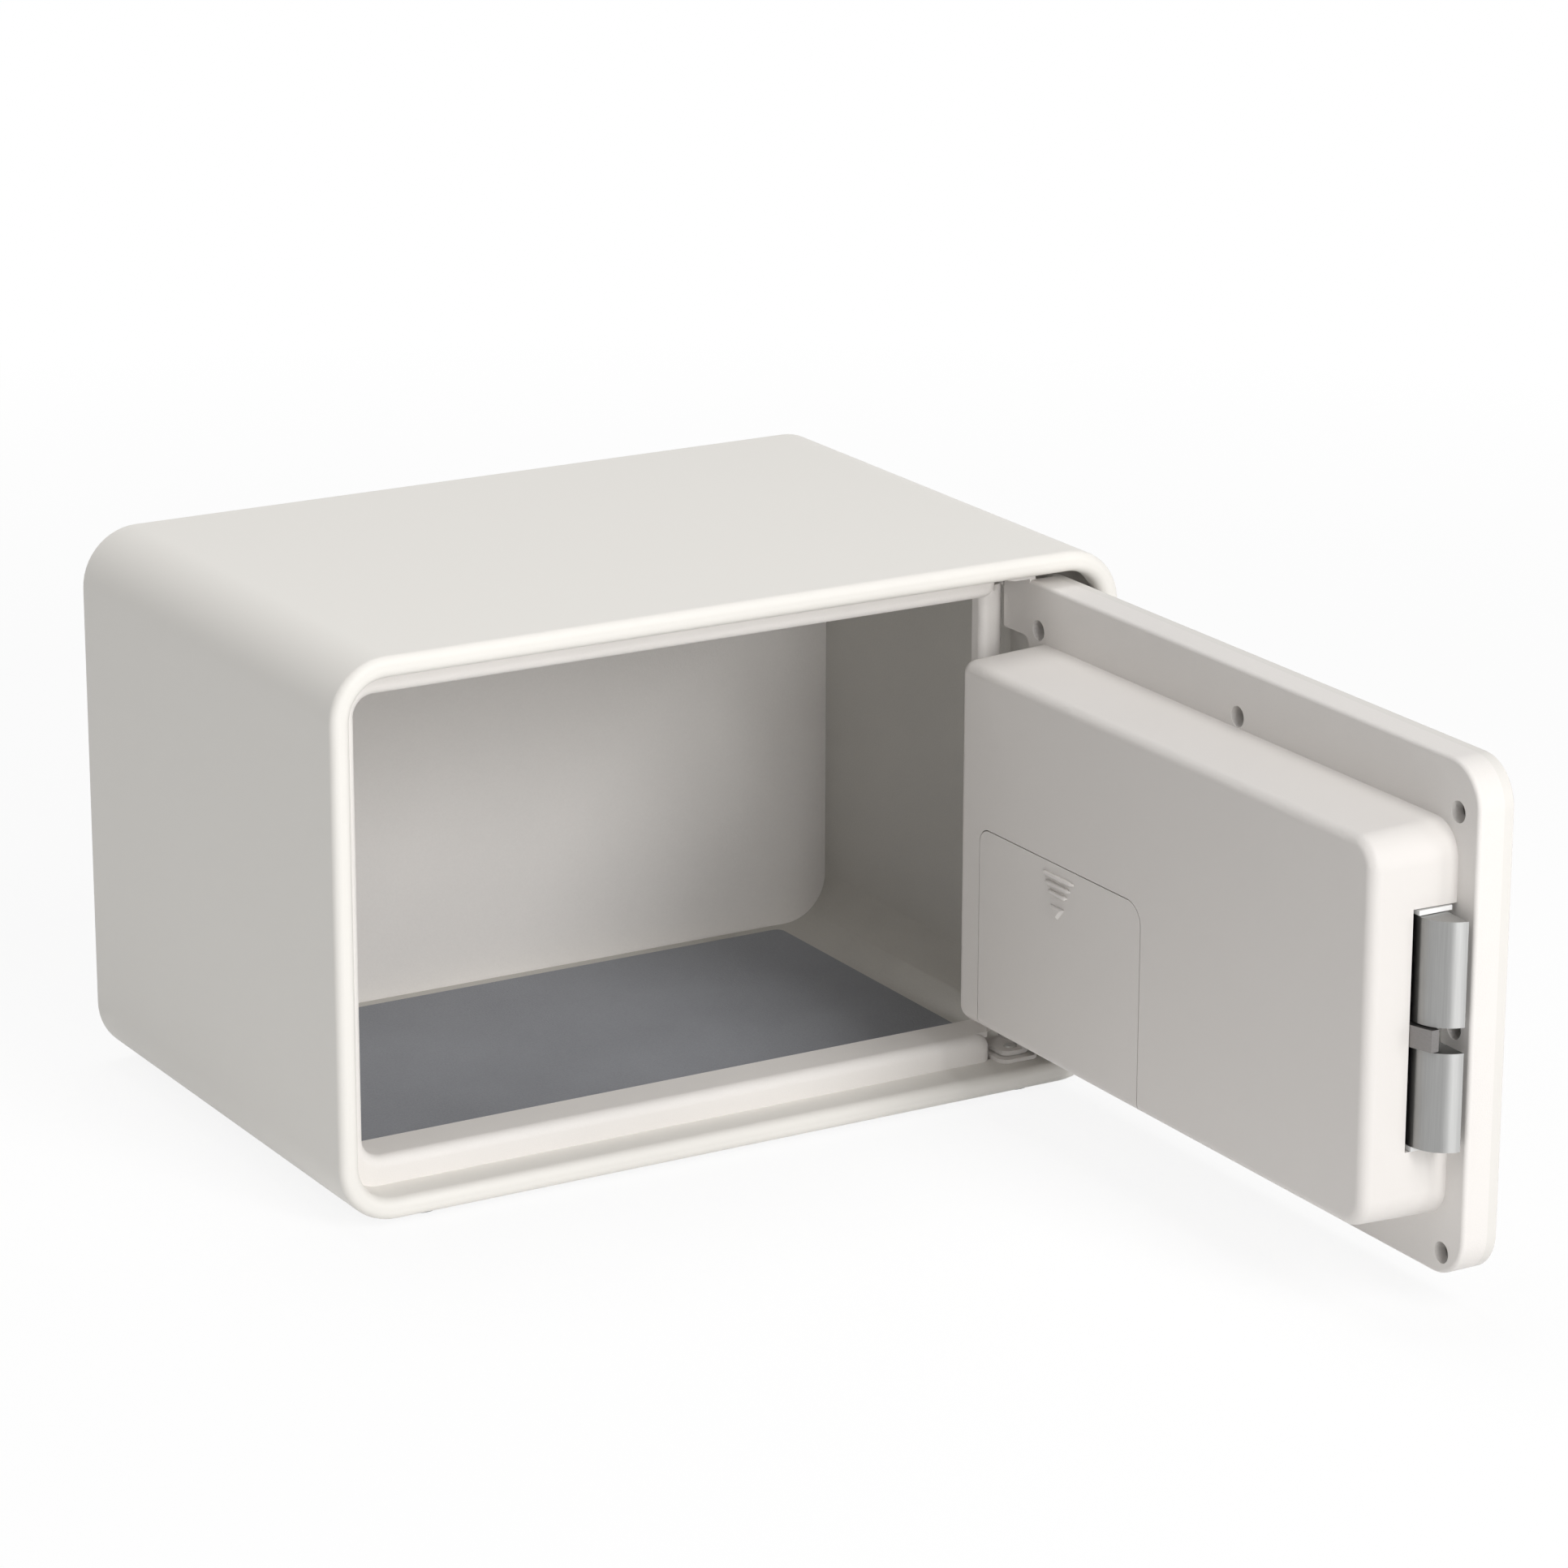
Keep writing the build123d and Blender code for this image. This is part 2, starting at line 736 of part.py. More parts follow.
def cover_form(inset, depth, edge_round):
    """The lock cover's drafted block, moved inwards by a wall."""
    outline = panel(cover_left + inset, cover_right - inset, cover_bottom + inset, cover_top - inset)
    outline = rounded(outline, cover_left + inset, cover_free_corner - inset)
    outline = rounded(outline, cover_right - inset, cover_hinge_corner - inset)
    form = extrude(Plane.XZ.offset(-door_back) * outline, -depth, taper=cover_draft)
    return fillet(edges_at_y(form, door_back + depth), edge_round)


def cover_shell():
    inner = cover_form(cover_wall, cover_depth - cover_wall, cover_edge_round - cover_wall)
    return cover_form(0, cover_depth, cover_edge_round) - inner


def battery_prism(gap):
    """The space of the battery cover: through the front of the lock cover and out below."""
    x0, x1 = battery_cover_left - gap, battery_cover_right + gap
    outline = panel(x0, x1, cover_bottom - 5, battery_cover_top + gap)
    top = outline.vertices().sort_by(Axis.Y)[-2:].sort_by(Axis.X)
    outline = fillet(top[0], battery_cover_free_corner + gap)
    top = outline.vertices().sort_by(Axis.X)[-2:].sort_by(Axis.Y)
    outline = fillet(top[-1], battery_cover_corner + gap)
    return along_y(outline, door_back + battery_cover_start - gap, cover_y + 5)


def lock_cover():
    """The moulded cover over the lock, open for the bolt and the batteries."""
    cover = cover_shell() - battery_prism(battery_cover_gap)
    cut_bottom = bolt_bottom - bolt_window_margin + bolt_window_raise
    cut_top = bolt_top + bolt_window_margin + bolt_window_raise
    cut_x = cover_left + chassis_inset
    cut_y = door_back + bolt_window_depth
    cover -= block(cover_left - 1, cut_x, door_back - 1, cut_y, cut_bottom, cut_top)
    inner_y = cover_y - cover_wall
    for x, z in cover_screw_places():
        post = rod_y(x, z, cover_boss_r, door_back, inner_y)
        cover += post - rod_y(x, z, cover_screw_r, door_back - 1, door_back + cover_screw_depth)
    inset = main_board_post_inset
    post_y = door_back + main_board_depth + board_thickness
    for x in (main_board_left + inset, main_board_right - inset):
        for z in (main_board_bottom + inset, main_board_top - inset):
            cover += rod_y(x, z, main_board_post_r, post_y, inner_y)
    return cover


def battery_cover():
    """The sliding battery cover, with grip ribs, an arrow and a hidden tongue."""
    cover = cover_shell() & battery_prism(0)
    top = battery_cover_top
    inner_y = cover_y - cover_wall
    x0, x1 = battery_middle - tongue_width / 2, battery_middle + tongue_width / 2
    back_y = inner_y - tongue_gap
    root_z = top - tongue_root
    cover += block(x0, x1, back_y - tongue_thickness, back_y, root_z, top + tongue_length)
    cover += block(x0, x1, back_y, inner_y, root_z, top - 3 * tongue_gap)
    z = top - grip_below_top
    for length in grip_rib_lengths:
        rib = Pos(battery_middle, z) * SlotOverall(length, grip_rib_width)
        cover += along_y(rib, cover_y - tongue_gap, cover_y + grip_rib_height)
        z -= grip_rib_pitch
    arrow = Pos(battery_middle, z - arrow_below_ribs) * Rot(0, 0, 180)
    arrow *= Triangle(a=arrow_width, b=arrow_side, c=arrow_side)
    return cover + along_y(arrow, cover_y - tongue_gap, cover_y + grip_rib_height)


def battery_xs():
    return [battery_middle + (n - (cell_count - 1) / 2) * cell_pitch for n in range(cell_count)]


def battery_tray():
    """The open tray with a saddle under each cell and feet on the door."""
    y1 = door_back + tray_rim_depth
    floor_y = door_back + cell_centre_depth - cell_r - tray_wall - tray_gap
    inner_y = floor_y + tray_wall
    x0, x1 = battery_middle - tray_half, battery_middle + tray_half
    z0, z1 = tray_bottom + tray_wall, tray_top - tray_wall
    tray = block(x0, x1, floor_y, y1, tray_bottom, tray_top)
    tray -= block(x0 + tray_wall, x1 - tray_wall, inner_y, y1 + 1, z0, z1)
    xs = battery_xs()
    rib_y = y1 - tray_rib_below_rim
    for left, right in zip(xs, xs[1:]):
        rib_x = (left + right - tray_rib) / 2
        tray += block(rib_x, rib_x + tray_rib, inner_y, rib_y, z0 + tray_rib_clear, z1 - tray_rib_clear)
    for x in (x0 + tray_post_inset, x1 - tray_post_inset):
        for z in (tray_bottom + tray_post_inset, tray_top - tray_post_inset):
            tray += rod_y(x, z, tray_post_r, door_back, floor_y)
    return tray


def battery_contacts():
    """A plate and a coned spring below each cell, and a plate with a dimple above it."""
    y = door_back + cell_centre_depth
    y0, y1 = y - contact_half, y + contact_half
    bottom = tray_bottom + tray_wall
    plate_top = bottom + contact_plate
    top = tray_top - tray_wall
    plate_bottom = top - contact_plate
    contacts = []
    for x in battery_xs():
        x0, x1 = x - contact_half, x + contact_half
        height = cells_bottom - plate_top
        cone = Pos(x, y, plate_top + height / 2) * Cone(contact_cone_r, contact_cone_tip_r, height)
        contacts.append(block(x0, x1, y0, y1, bottom, plate_top) + cone)
        dimple = rod_z(x, y, contact_dimple_r, cells_bottom + cell_length + cell_nub, plate_bottom)
        contacts.append(block(x0, x1, y0, y1, plate_bottom, top) + dimple)
    return contacts


def battery_cells():
    """Four upright cells, every other one turned end for end."""
    cells = []
    y = door_back + cell_centre_depth
    length = cell_length + cell_nub
    for number, x in enumerate(battery_xs()):
        can = rod_z(0, 0, cell_r, 0, cell_length)
        can = chamfer(can.edges().filter_by(GeomType.CIRCLE), cell_edge)
        cell = can + rod_z(0, 0, cell_nub_r, cell_length, length)
        if number % 2:
            cell = Pos(0, 0, length) * Rot(180, 0, 0) * cell
        cells.append(Pos(x, y, cells_bottom) * cell)
    return cells


def lock_bolt():
    """The slam bolt: a round-nosed head cut by the trigger's notch, and a geared tail."""
    x_centre = cover_left + bolt_nose_inside
    y_centre = door_back + bolt_nose_depth
    low = acos((bolt_flat - bolt_nose_depth) / bolt_nose_r)
    high = acos(min(1, (bolt_root - bolt_nose_depth) / bolt_nose_r))
    middle = (low + high) / 2
    tip = (x_centre - bolt_nose_r * sin(low), bolt_y)
    crown = (x_centre - bolt_nose_r * sin(middle), y_centre + bolt_nose_r * cos(middle))
    root = (x_centre - bolt_nose_r * sin(high), bolt_root_y)
    outline = make_face([
        ThreePointArc(tip, crown, root),
        Line(root, (bolt_end, bolt_root_y)),
        Line((bolt_end, bolt_root_y), (bolt_end, bolt_y)),
        Line((bolt_end, bolt_y), tip),
    ])
    bolt = Pos(0, 0, bolt_bottom) * extrude(outline, bolt_top - bolt_bottom)
    x0, x1 = cover_left - bolt_nose_r, cover_left + cover_wall
    height = (bolt_notch_bottom, bolt_notch_top)
    bolt -= block(x0, bolt_end + 1, door_back + bolt_notch_floor, bolt_root_y + 1, *height)
    bolt -= block(x0, x1, door_back, bolt_root_y + 1, *height)
    return bolt + bolt_carriage()


def bolt_carriage():
    """The flat tail of the bolt with rack teeth along its upper edge."""
    root = rack_line - gear_dedendum * gear_module
    plate = panel(bolt_end, carriage_end, carriage_bottom, root)
    pitch = pi * gear_module
    slope = tan(radians(pressure_angle))
    half = (pitch / 2 - gear_backlash / 2) / 2
    tip = gear_addendum * gear_module
    base = gear_dedendum * gear_module
    teeth = []
    for number in range(rack_first_tooth, rack_first_tooth + rack_teeth):
        x = drive_x - number * pitch
        teeth.append(make_face(Polyline(
            (x - half - base * slope, root - 0.5),
            (x - half - base * slope, root),
            (x - half + tip * slope, rack_line + tip),
            (x + half - tip * slope, rack_line + tip),
            (x + half + base * slope, root),
            (x + half + base * slope, root - 0.5),
            close=True,
        )))
    return along_y(plate + teeth, bolt_y, bolt_y + carriage_thickness)


def involute(base_r, r):
    """The angle that an involute flank has turned from the base circle out to r."""
    if r <= base_r:
        return 0.0
    roll = sqrt((r / base_r) ** 2 - 1)
    return roll - acos(base_r / r)


def gear_outline(teeth, first_tooth):
    """A spur gear seen from the front, with one tooth's middle at the angle given."""
    pitch_r = gear_module * teeth / 2
    base_r = pitch_r * cos(radians(pressure_angle))
    root_r = pitch_r - gear_dedendum * gear_module
    tip_r = pitch_r + gear_addendum * gear_module
    half = (pi * gear_module / 2 - gear_backlash / 2) / (2 * pitch_r) + involute(base_r, pitch_r)
    steps = [base_r + (tip_r - base_r) * n / 4 for n in range(5)]
    points = []
    for tooth in range(teeth):
        middle = radians(first_tooth) + 2 * pi * tooth / teeth
        rising = [(r, middle - half + involute(base_r, r)) for r in steps]
        falling = [(r, middle + half - involute(base_r, r)) for r in reversed(steps)]
        flank = [(root_r, middle - half)] + rising + falling + [(root_r, middle + half)]
        points += [(r * cos(a), r * sin(a)) for r, a in flank]
    return make_face(Polyline(*points, close=True))


def plug_gear():
    """The gear on the key plug, a tooth up and a gap down onto the rack."""
    gear = Pos(drive_x, plug_z) * (gear_outline(plug_teeth, 90) - Circle(plug_tail_r))
    return along_y(gear, door_back + gear_depth, door_back + gear_depth + gear_face)


def motor_pinion():
    """The motor's pinion and shaft, in mesh above the plug's gear."""
    first_tooth = -90 + 180 / pinion_teeth
    pinion = Pos(drive_x, pinion_z) * gear_outline(pinion_teeth, first_tooth)
    y0 = door_back + gear_depth
    y1 = y0 + gear_face
    return along_y(pinion, y0, y1) + rod_y(drive_x, pinion_z, motor_shaft_r, y1, y1 + motor_shaft_length)


def gear_motor():
    """The gearbox and motor can above the bolt, on a foot beside the gears."""
    y0 = door_back + gearbox_depth
    y1 = y0 + gearbox_thickness
    x1 = drive_x + gearbox_hinge_side
    z0, z1 = pinion_z - gearbox_below_shaft, pinion_z + gearbox_above_shaft
    gearbox = block(drive_x - gearbox_free_side, x1, y0, y1, z0, z1)
    gearbox = fillet(gearbox.edges().filter_by(Axis.Y), gearbox_corner)
    top = door_back + motor_top
    can = rod_y(drive_x + motor_can_across, pinion_z + motor_can_above, motor_can_r, y1, top)
    can = chamfer(edges_at_y(can, top), motor_edge)
    foot_x = cover_left + guide_length + motor_foot_gap
    foot_y = door_back + chassis_sheet
    foot = block(foot_x, x1, foot_y, y0, z0 + motor_foot_inset, z1 - motor_foot_inset)
    bore_end = door_back + gear_depth + gear_face + motor_shaft_length + 1
    bore = rod_y(drive_x, pinion_z, motor_shaft_r + motor_shaft_clearance, y0 - 1, bore_end)
    return gearbox + can + foot - bore


def trigger():
    """The steel finger in the bolt's notch, with a sloped nose."""
    x0 = cover_left - trigger_reach
    y0, y1 = door_back + trigger_floor, door_back + trigger_root
    nose_y = door_back + trigger_tip_depth
    corners = ((x0, y0), (x0, nose_y), (cover_left, y1), (trigger_end, y1), (trigger_end, y0))
    outline = make_face(Polyline(*corners, close=True))
    return Pos(0, 0, trigger_bottom) * extrude(outline, trigger_top - trigger_bottom)


def spring(x, y, z, length, r):
    """A coil along X with its near end at x."""
    height = length - 2 * spring_wire
    path = Helix(pitch=height / spring_turns, height=height, radius=r)
    section = Plane(origin=path @ 0, z_dir=path % 0) * RegularPolygon(spring_wire, 4)
    coil = sweep(section, path=path, is_frenet=True)
    return Pos(x + spring_wire, y, z) * Rot(0, 90, 0) * coil


def spring_pin(x, y, z):
    """The peg that a spring's far end sits on."""
    return Pos(x, y, z) * Rot(0, 90, 0) * Cylinder(spring_pin_r, spring_pin_length)


def bolt_spring():
    y = bolt_y + carriage_thickness / 2
    return spring(carriage_end, y, spring_z, bolt_spring_length, bolt_spring_r)


def trigger_spring():
    return spring(trigger_end, trigger_y, trigger_z, trigger_spring_length, trigger_spring_r)


def lock_chassis():
    """The steel plate under the lock parts, with a turned-up tab for the bolt's spring."""
    x0 = cover_left + chassis_inset
    y1 = door_back + chassis_sheet
    z0, z1 = bolt_bottom - chassis_margin, bolt_top + chassis_margin
    plate = block(x0, x0 + chassis_length, door_back, y1, z0, z1)
    plate = fillet(plate.edges().filter_by(Axis.Y), chassis_corner)
    tab_x = carriage_end + bolt_spring_length
    z0, z1 = spring_z - spring_tab_half, spring_z + spring_tab_half
    plate += block(tab_x, tab_x + chassis_sheet, y1, door_back + spring_tab_depth, z0, z1)
    plate += spring_pin(tab_x - spring_pin_length / 2, bolt_y + carriage_thickness / 2, spring_z)
    return plate - rod_y(drive_x, plug_z, barrel_r, door_back - 1, y1 + 1)


def bolt_guide():
    """The white guide under and beside the bolt, with the trigger spring's post."""
    x0, x1 = cover_left + guide_clearance, cover_left + guide_length
    base_x = cover_left + chassis_inset
    base_y = door_back + guide_floor_depth
    side_y = base_y - guide_floor
    inner_bottom, inner_top = bolt_bottom - guide_clearance, bolt_top + guide_clearance
    z0, z1 = inner_bottom - guide_wall, inner_top + guide_wall
    guide = block(base_x, x1, door_back + chassis_sheet, base_y, z0, z1)
    guide += block(x0, x1, side_y, bolt_root_y, z0, inner_bottom)
    guide += block(x0, bolt_end + bolt_travel, side_y, bolt_root_y, inner_top, z1)
    post_x = trigger_end + trigger_spring_length
    post_y = door_back + guide_post_depth
    tail_y = bolt_y + carriage_thickness + guide_over_tail
    guide += block(post_x, x1, tail_y, post_y, inner_bottom, trigger_z + guide_post_rise)
    guide += block(post_x, x1, base_y, post_y, inner_bottom, carriage_bottom - guide_under_tail)
    guide += spring_pin(post_x - spring_pin_length / 2, trigger_y, trigger_z)
    clear_r = plug_tail_r + plug_tail_clearance
    return guide - rod_y(drive_x, plug_z, clear_r, door_back, door_back + gear_depth + gear_face)


def micro_switch():
    """The switch beside the tail, which tells the board where the bolt is."""
    x1 = carriage_end + switch_past_tail
    x0 = x1 - switch_length
    y0 = door_back + chassis_sheet
    y1 = y0 + switch_thickness
    z1 = carriage_bottom - switch_below_tail
    z0 = z1 - switch_height
    case = block(x0, x1, y0, y1, z0, z1)
    middle_y = (y0 + y1) / 2
    for x in (x0 + switch_hole_inset, x1 - switch_hole_inset):
        case -= rod_y(x, z0 + switch_hole_rise, switch_hole_r, y0 - 1, y1 + 1)
        pin = Box(switch_pin, 2 * switch_pin, switch_pin_length)
        case += Pos(x, middle_y, z0 - switch_pin_length / 2) * pin
    lever_y0, lever_y1 = middle_y - switch_lever_width / 2, middle_y + switch_lever_width / 2
    lever_x, lever_z = x0 + switch_pin, z1 + switch_lever_rise
    case += block(lever_x, x1 - switch_pin, lever_y0, lever_y1, lever_z, lever_z + switch_lever)
    return case + block(lever_x, lever_x + 2 * switch_lever, lever_y0, lever_y1, z1, lever_z)


def main_circuit_board():
    """The control board on the cover's posts, with its larger components."""
    y0 = door_back + main_board_depth
    y1 = y0 + board_thickness
    board = block(main_board_left, main_board_right, y0, y1, main_board_bottom, main_board_top)
    x, z = main_board_left + chip_from_end, main_board_bottom + chip_from_bottom
    board += block(x, x + chip_size, y1, y1 + chip_height, z, z + chip_size)
    x, z = main_board_right - power_socket_from_end, main_board_top - power_socket_from_top
    board += block(x - power_socket_width, x, y1, y1 + power_socket_height, z - power_socket_height, z)
    for number in range(capacitor_count):
        x = main_board_right - capacitors_from_end - number * capacitor_pitch
        z = main_board_bottom + capacitors_from_bottom
        board += rod_y(x, z, capacitor_r, y1, y1 + capacitor_height)
    half = cable_width / 2 + cable_socket_margin
    z0, z1 = cable_z - cable_socket_half, cable_z + cable_socket_half
    return board + block(keypad_x - half, keypad_x + half, y0 - cable_socket_depth, y0, z0, z1)


def ribbon_cable():
    """The flat cable from the keypad board straight through the door."""
    half = cable_width / 2
    y0, y1 = door_front + keypad_pocket, door_back + main_board_depth - cable_socket_depth
    z0, z1 = cable_z - cable_thickness / 2, cable_z + cable_thickness / 2
    return block(keypad_x - half, keypad_x + half, y0, y1, z0, z1)


def keypad_bezel():
    """The raised keypad surround, with a window for each key and one for the lamp."""
    bezel = along_y(keypad_outline(0, keypad_corner), keypad_front, door_front)
    bezel = fillet(edges_at_y(bezel, keypad_front), keypad_edge_round)
    hollow = keypad_outline(bezel_wall, keypad_corner - bezel_wall)
    bezel -= along_y(hollow, keypad_front + bezel_web, door_front + 1)
    width, height = key_width + 2 * key_gap, key_height + 2 * key_gap
    for name, x, z in key_places():
        window = Pos(x, z) * RectangleRounded(width, height, key_corner + key_gap)
        bezel -= along_y(window, keypad_front - 1, door_front)
    return bezel - rod_y(keypad_x, lens_z, lens_r, keypad_front - 1, door_front)


def status_lens():
    web_back = keypad_front + bezel_web
    lens = rod_y(keypad_x, lens_z, lens_r, keypad_front - lens_proud, web_back)
    lens = chamfer(edges_at_y(lens, keypad_front - lens_proud), lens_edge)
    return lens + rod_y(keypad_x, lens_z, lens_r + lens_flange_margin, web_back, web_back + lens_flange)


def keypad_key(x, z):
    """One key cap, with the flange that keeps it behind the bezel."""
    web_back = keypad_front + bezel_web
    flange_back = web_back + key_flange
    cap = Pos(x, z) * RectangleRounded(key_width, key_height, key_corner)
    cap = along_y(cap, keypad_front - key_proud, flange_back)
    cap = fillet(edges_at_y(cap, keypad_front - key_proud), key_edge_round)
    width, height = key_width + 2 * key_flange_margin, key_height + 2 * key_flange_margin
    flange = Pos(x, z) * RectangleRounded(width, height, key_corner)
    return cap + along_y(flange, web_back + 0.05, flange_back)


def keypad_mat():
    """The rubber contact mat behind the keys."""
    y1 = door_front + keypad_pocket - board_thickness
    outline = keypad_outline(keypad_pocket_margin + keypad_board_gap, keypad_pocket_corner)
    return along_y(outline, y1 - mat_thickness, y1)


def keypad_board():
    outline = keypad_outline(keypad_pocket_margin + keypad_board_gap, keypad_pocket_corner)
    y1 = door_front + keypad_pocket
    return along_y(outline, y1 - board_thickness, y1)


def key_cylinder():
    """The emergency lock's barrel, through the panel and the pan."""
    flange_y = door_front - barrel_flange
    barrel = rod_y(drive_x, plug_z, barrel_r, door_front, door_back + chassis_sheet)
    flange = rod_y(drive_x, plug_z, barrel_flange_r, flange_y, door_front)
    barrel += chamfer(edges_at_y(flange, flange_y), barrel_edge)
    bore_r = plug_r + plug_clearance
    return barrel - rod_y(drive_x, plug_z, bore_r, flange_y - 1, door_back + barrel_bore_end)


def key_plug():
    """The turning core with its keyway and the tail that carries the gear."""
    y0 = door_front - barrel_flange + plug_recess
    y1 = door_back + chassis_sheet
    plug = rod_y(drive_x, plug_z, plug_r, y0, y1)
    plug += rod_y(drive_x, plug_z, plug_tail_r, y1, door_back + gear_depth + gear_face)
    slot = Pos(drive_x, plug_z) * Rectangle(key_slot_width, key_slot_height)
    return plug - along_y(slot, y0 - 1, y0 + key_slot_depth)


def keyhole_pivot_pin():
    """The shouldered pin that the keyhole flap hangs on."""
    flap_back = door_front - barrel_flange - flap_gap
    head_y1 = flap_back - flap_thickness - flap_play
    head_y0 = head_y1 - flap_head
    pin = rod_y(drive_x, flap_z, flap_pivot_r, head_y1, panel_back)
    pin += rod_y(drive_x, flap_z, flap_shoulder_r, flap_back + flap_play, door_front)
    head = rod_y(drive_x, flap_z, flap_head_r, head_y0, head_y1)
    return pin + chamfer(edges_at_y(head, head_y0), flap_head_edge)


def keyhole_cover():
    """The flap that hangs over the keyhole and swings aside."""
    y1 = door_front - barrel_flange - flap_gap
    y0 = y1 - flap_thickness
    circles = (Pos(drive_x, flap_z) * Circle(flap_top_r)) + (Pos(drive_x, plug_z) * Circle(flap_bottom_r))
    flap = along_y(make_hull(circles.edges()), y0, y1)
    flap = fillet(edges_at_y(flap, y0), flap_edge_round)
    return flap - rod_y(drive_x, flap_z, flap_pivot_r + plug_clearance, y0 - 1, y1 + 1)


def opened(shape):
    """A closed door part turned a quarter turn out about the hinge line."""
    hinge = Pos(hinge_x, hinge_y, 0)
    return hinge * Rot(0, 0, 90) * Pos(-hinge_x, -hinge_y, 0) * shape


def write(name, made, door):
    solids = made if isinstance(made, list) else [made]
    if door:
        solids = [opened(solid) for solid in solids]
    shape = solids[0] if len(solids) == 1 else Compound(children=solids)
    export_step(shape, f"parts/{name}.step")


cabinet_parts = (
    body_shell, back_plate, front_frame, hinge_pillar, upper_hinge_bracket, lower_hinge_bracket,
    hinge_pins, hinge_washers, floor_mat, rubber_feet,
)
door_parts = (
    door_front_panel, door_inner_pan, door_screws, keypad_bezel, status_lens, keypad_mat, keypad_board,
    key_cylinder, key_plug, plug_gear, keyhole_pivot_pin, keyhole_cover, lock_chassis, bolt_guide,
    gear_motor, motor_pinion, lock_bolt, bolt_spring, trigger, trigger_spring, micro_switch,
    main_circuit_board, ribbon_cable, lock_cover, cover_screws, battery_cover, battery_tray,
    battery_contacts, battery_cells,
)

os.makedirs("parts", exist_ok=True)
for make in cabinet_parts:
    write(make.__name__, make(), door=False)
for make in door_parts:
    write(make.__name__, make(), door=True)
for name, x, z in key_places():
    write(f"key_{name}", keypad_key(x, z), door=True)
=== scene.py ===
import json
import math

import bmesh
import bpy
from mathutils import Matrix, Vector


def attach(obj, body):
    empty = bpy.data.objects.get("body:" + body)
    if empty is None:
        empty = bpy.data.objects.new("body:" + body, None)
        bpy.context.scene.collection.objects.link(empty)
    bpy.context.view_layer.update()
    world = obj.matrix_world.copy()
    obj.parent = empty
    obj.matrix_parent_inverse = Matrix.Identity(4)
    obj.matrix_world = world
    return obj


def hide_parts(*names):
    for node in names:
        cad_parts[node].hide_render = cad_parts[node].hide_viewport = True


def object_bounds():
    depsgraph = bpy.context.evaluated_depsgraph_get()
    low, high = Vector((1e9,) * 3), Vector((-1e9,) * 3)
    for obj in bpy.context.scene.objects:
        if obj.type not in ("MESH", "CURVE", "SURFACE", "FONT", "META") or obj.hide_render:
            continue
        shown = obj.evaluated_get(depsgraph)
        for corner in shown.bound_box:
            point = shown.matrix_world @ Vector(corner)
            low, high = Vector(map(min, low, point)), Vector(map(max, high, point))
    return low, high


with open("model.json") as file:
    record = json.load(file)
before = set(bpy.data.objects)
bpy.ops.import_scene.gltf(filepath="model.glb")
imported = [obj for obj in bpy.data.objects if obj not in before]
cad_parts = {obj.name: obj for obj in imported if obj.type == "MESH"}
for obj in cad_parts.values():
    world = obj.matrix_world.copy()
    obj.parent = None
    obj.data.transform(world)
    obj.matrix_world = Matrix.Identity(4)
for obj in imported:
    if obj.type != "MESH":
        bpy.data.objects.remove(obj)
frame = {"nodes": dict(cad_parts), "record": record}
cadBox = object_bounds()
mm = 0.001
mergeDistance = 0.002 * mm
scene = bpy.context.scene
emergencyLock = ("key_cylinder", "key_plug")
keyNodes = [node for node in frame["nodes"] if node.startswith("key_") and node not in emergencyLock]
print("frame loaded:", len(frame["nodes"]), "nodes")


# objects and meshes

def newObject(name, data):
    made = bpy.data.objects.new(name, data)
    scene.collection.objects.link(made)
    return made


def setMaterial(piece, material):
    piece.data.materials.clear()
    piece.data.materials.append(material)


def spanOf(points):
    low = Vector([min(point[i] for point in points) for i in range(3)])
    high = Vector([max(point[i] for point in points) for i in range(3)])
    return low, high


def boxOf(mesh):
    return spanOf([vertex.co for vertex in mesh.vertices])


def merged(mesh):
    work = bmesh.new()
    work.from_mesh(mesh)
    bmesh.ops.remove_doubles(work, verts=work.verts, dist=mergeDistance)
    return work


def closedMesh(name, rings, smooth=False):
    # rings of points joined side by side, with the first and the last one filled
    work = bmesh.new()
    rings = [[work.verts.new(point) for point in ring] for ring in rings]
    for here, there in zip(rings, rings[1:]):
        for index in range(len(here)):
            after = (index + 1) % len(here)
            work.faces.new((here[index], here[after], there[after], there[index]))
    work.faces.new(rings[0])
    work.faces.new(rings[-1])
    bmesh.ops.recalc_face_normals(work, faces=work.faces)
    for face in work.faces:
        face.smooth = smooth
    mesh = bpy.data.meshes.new(name)
    work.to_mesh(mesh)
    work.free()
    return mesh


def turned(profile, axis, segments=40):
    # a solid turned about an axis from (distance along it, radius) points
    angles = [2 * math.pi * index / segments for index in range(segments)]
    rings = []
    for along, radius in profile:
        circle = [(radius * math.cos(angle), radius * math.sin(angle)) for angle in angles]
        rings.append([(along, *point) if axis == "X" else (*point, along) for point in circle])
    return closedMesh("turned", rings, smooth=True)


def plainMesh(piece, name):
    mesh = bpy.data.meshes.new_from_object(piece.evaluated_get(bpy.context.evaluated_depsgraph_get()))
    mesh.name = name
    return mesh


def camelName(node):
    first, *rest = node.split("_")
    return first + "".join(word.capitalize() for word in rest)


# camera, at the photograph's viewing angle

viewpoint = {
    "imageSize": 1932.0,
    "focalPixels": 7028.8,
    "centreX": 947.5,
    "centreY": 969.0,
    "place": (-0.9367, -1.7150, 0.7147),
    "yaw": 30.405,
    "pitch": 17.308,
    "roll": 0.097,
    "sensorWidth": 36.0,
    "clipFrom": 0.05,
    "clipTo": 30.0,
}


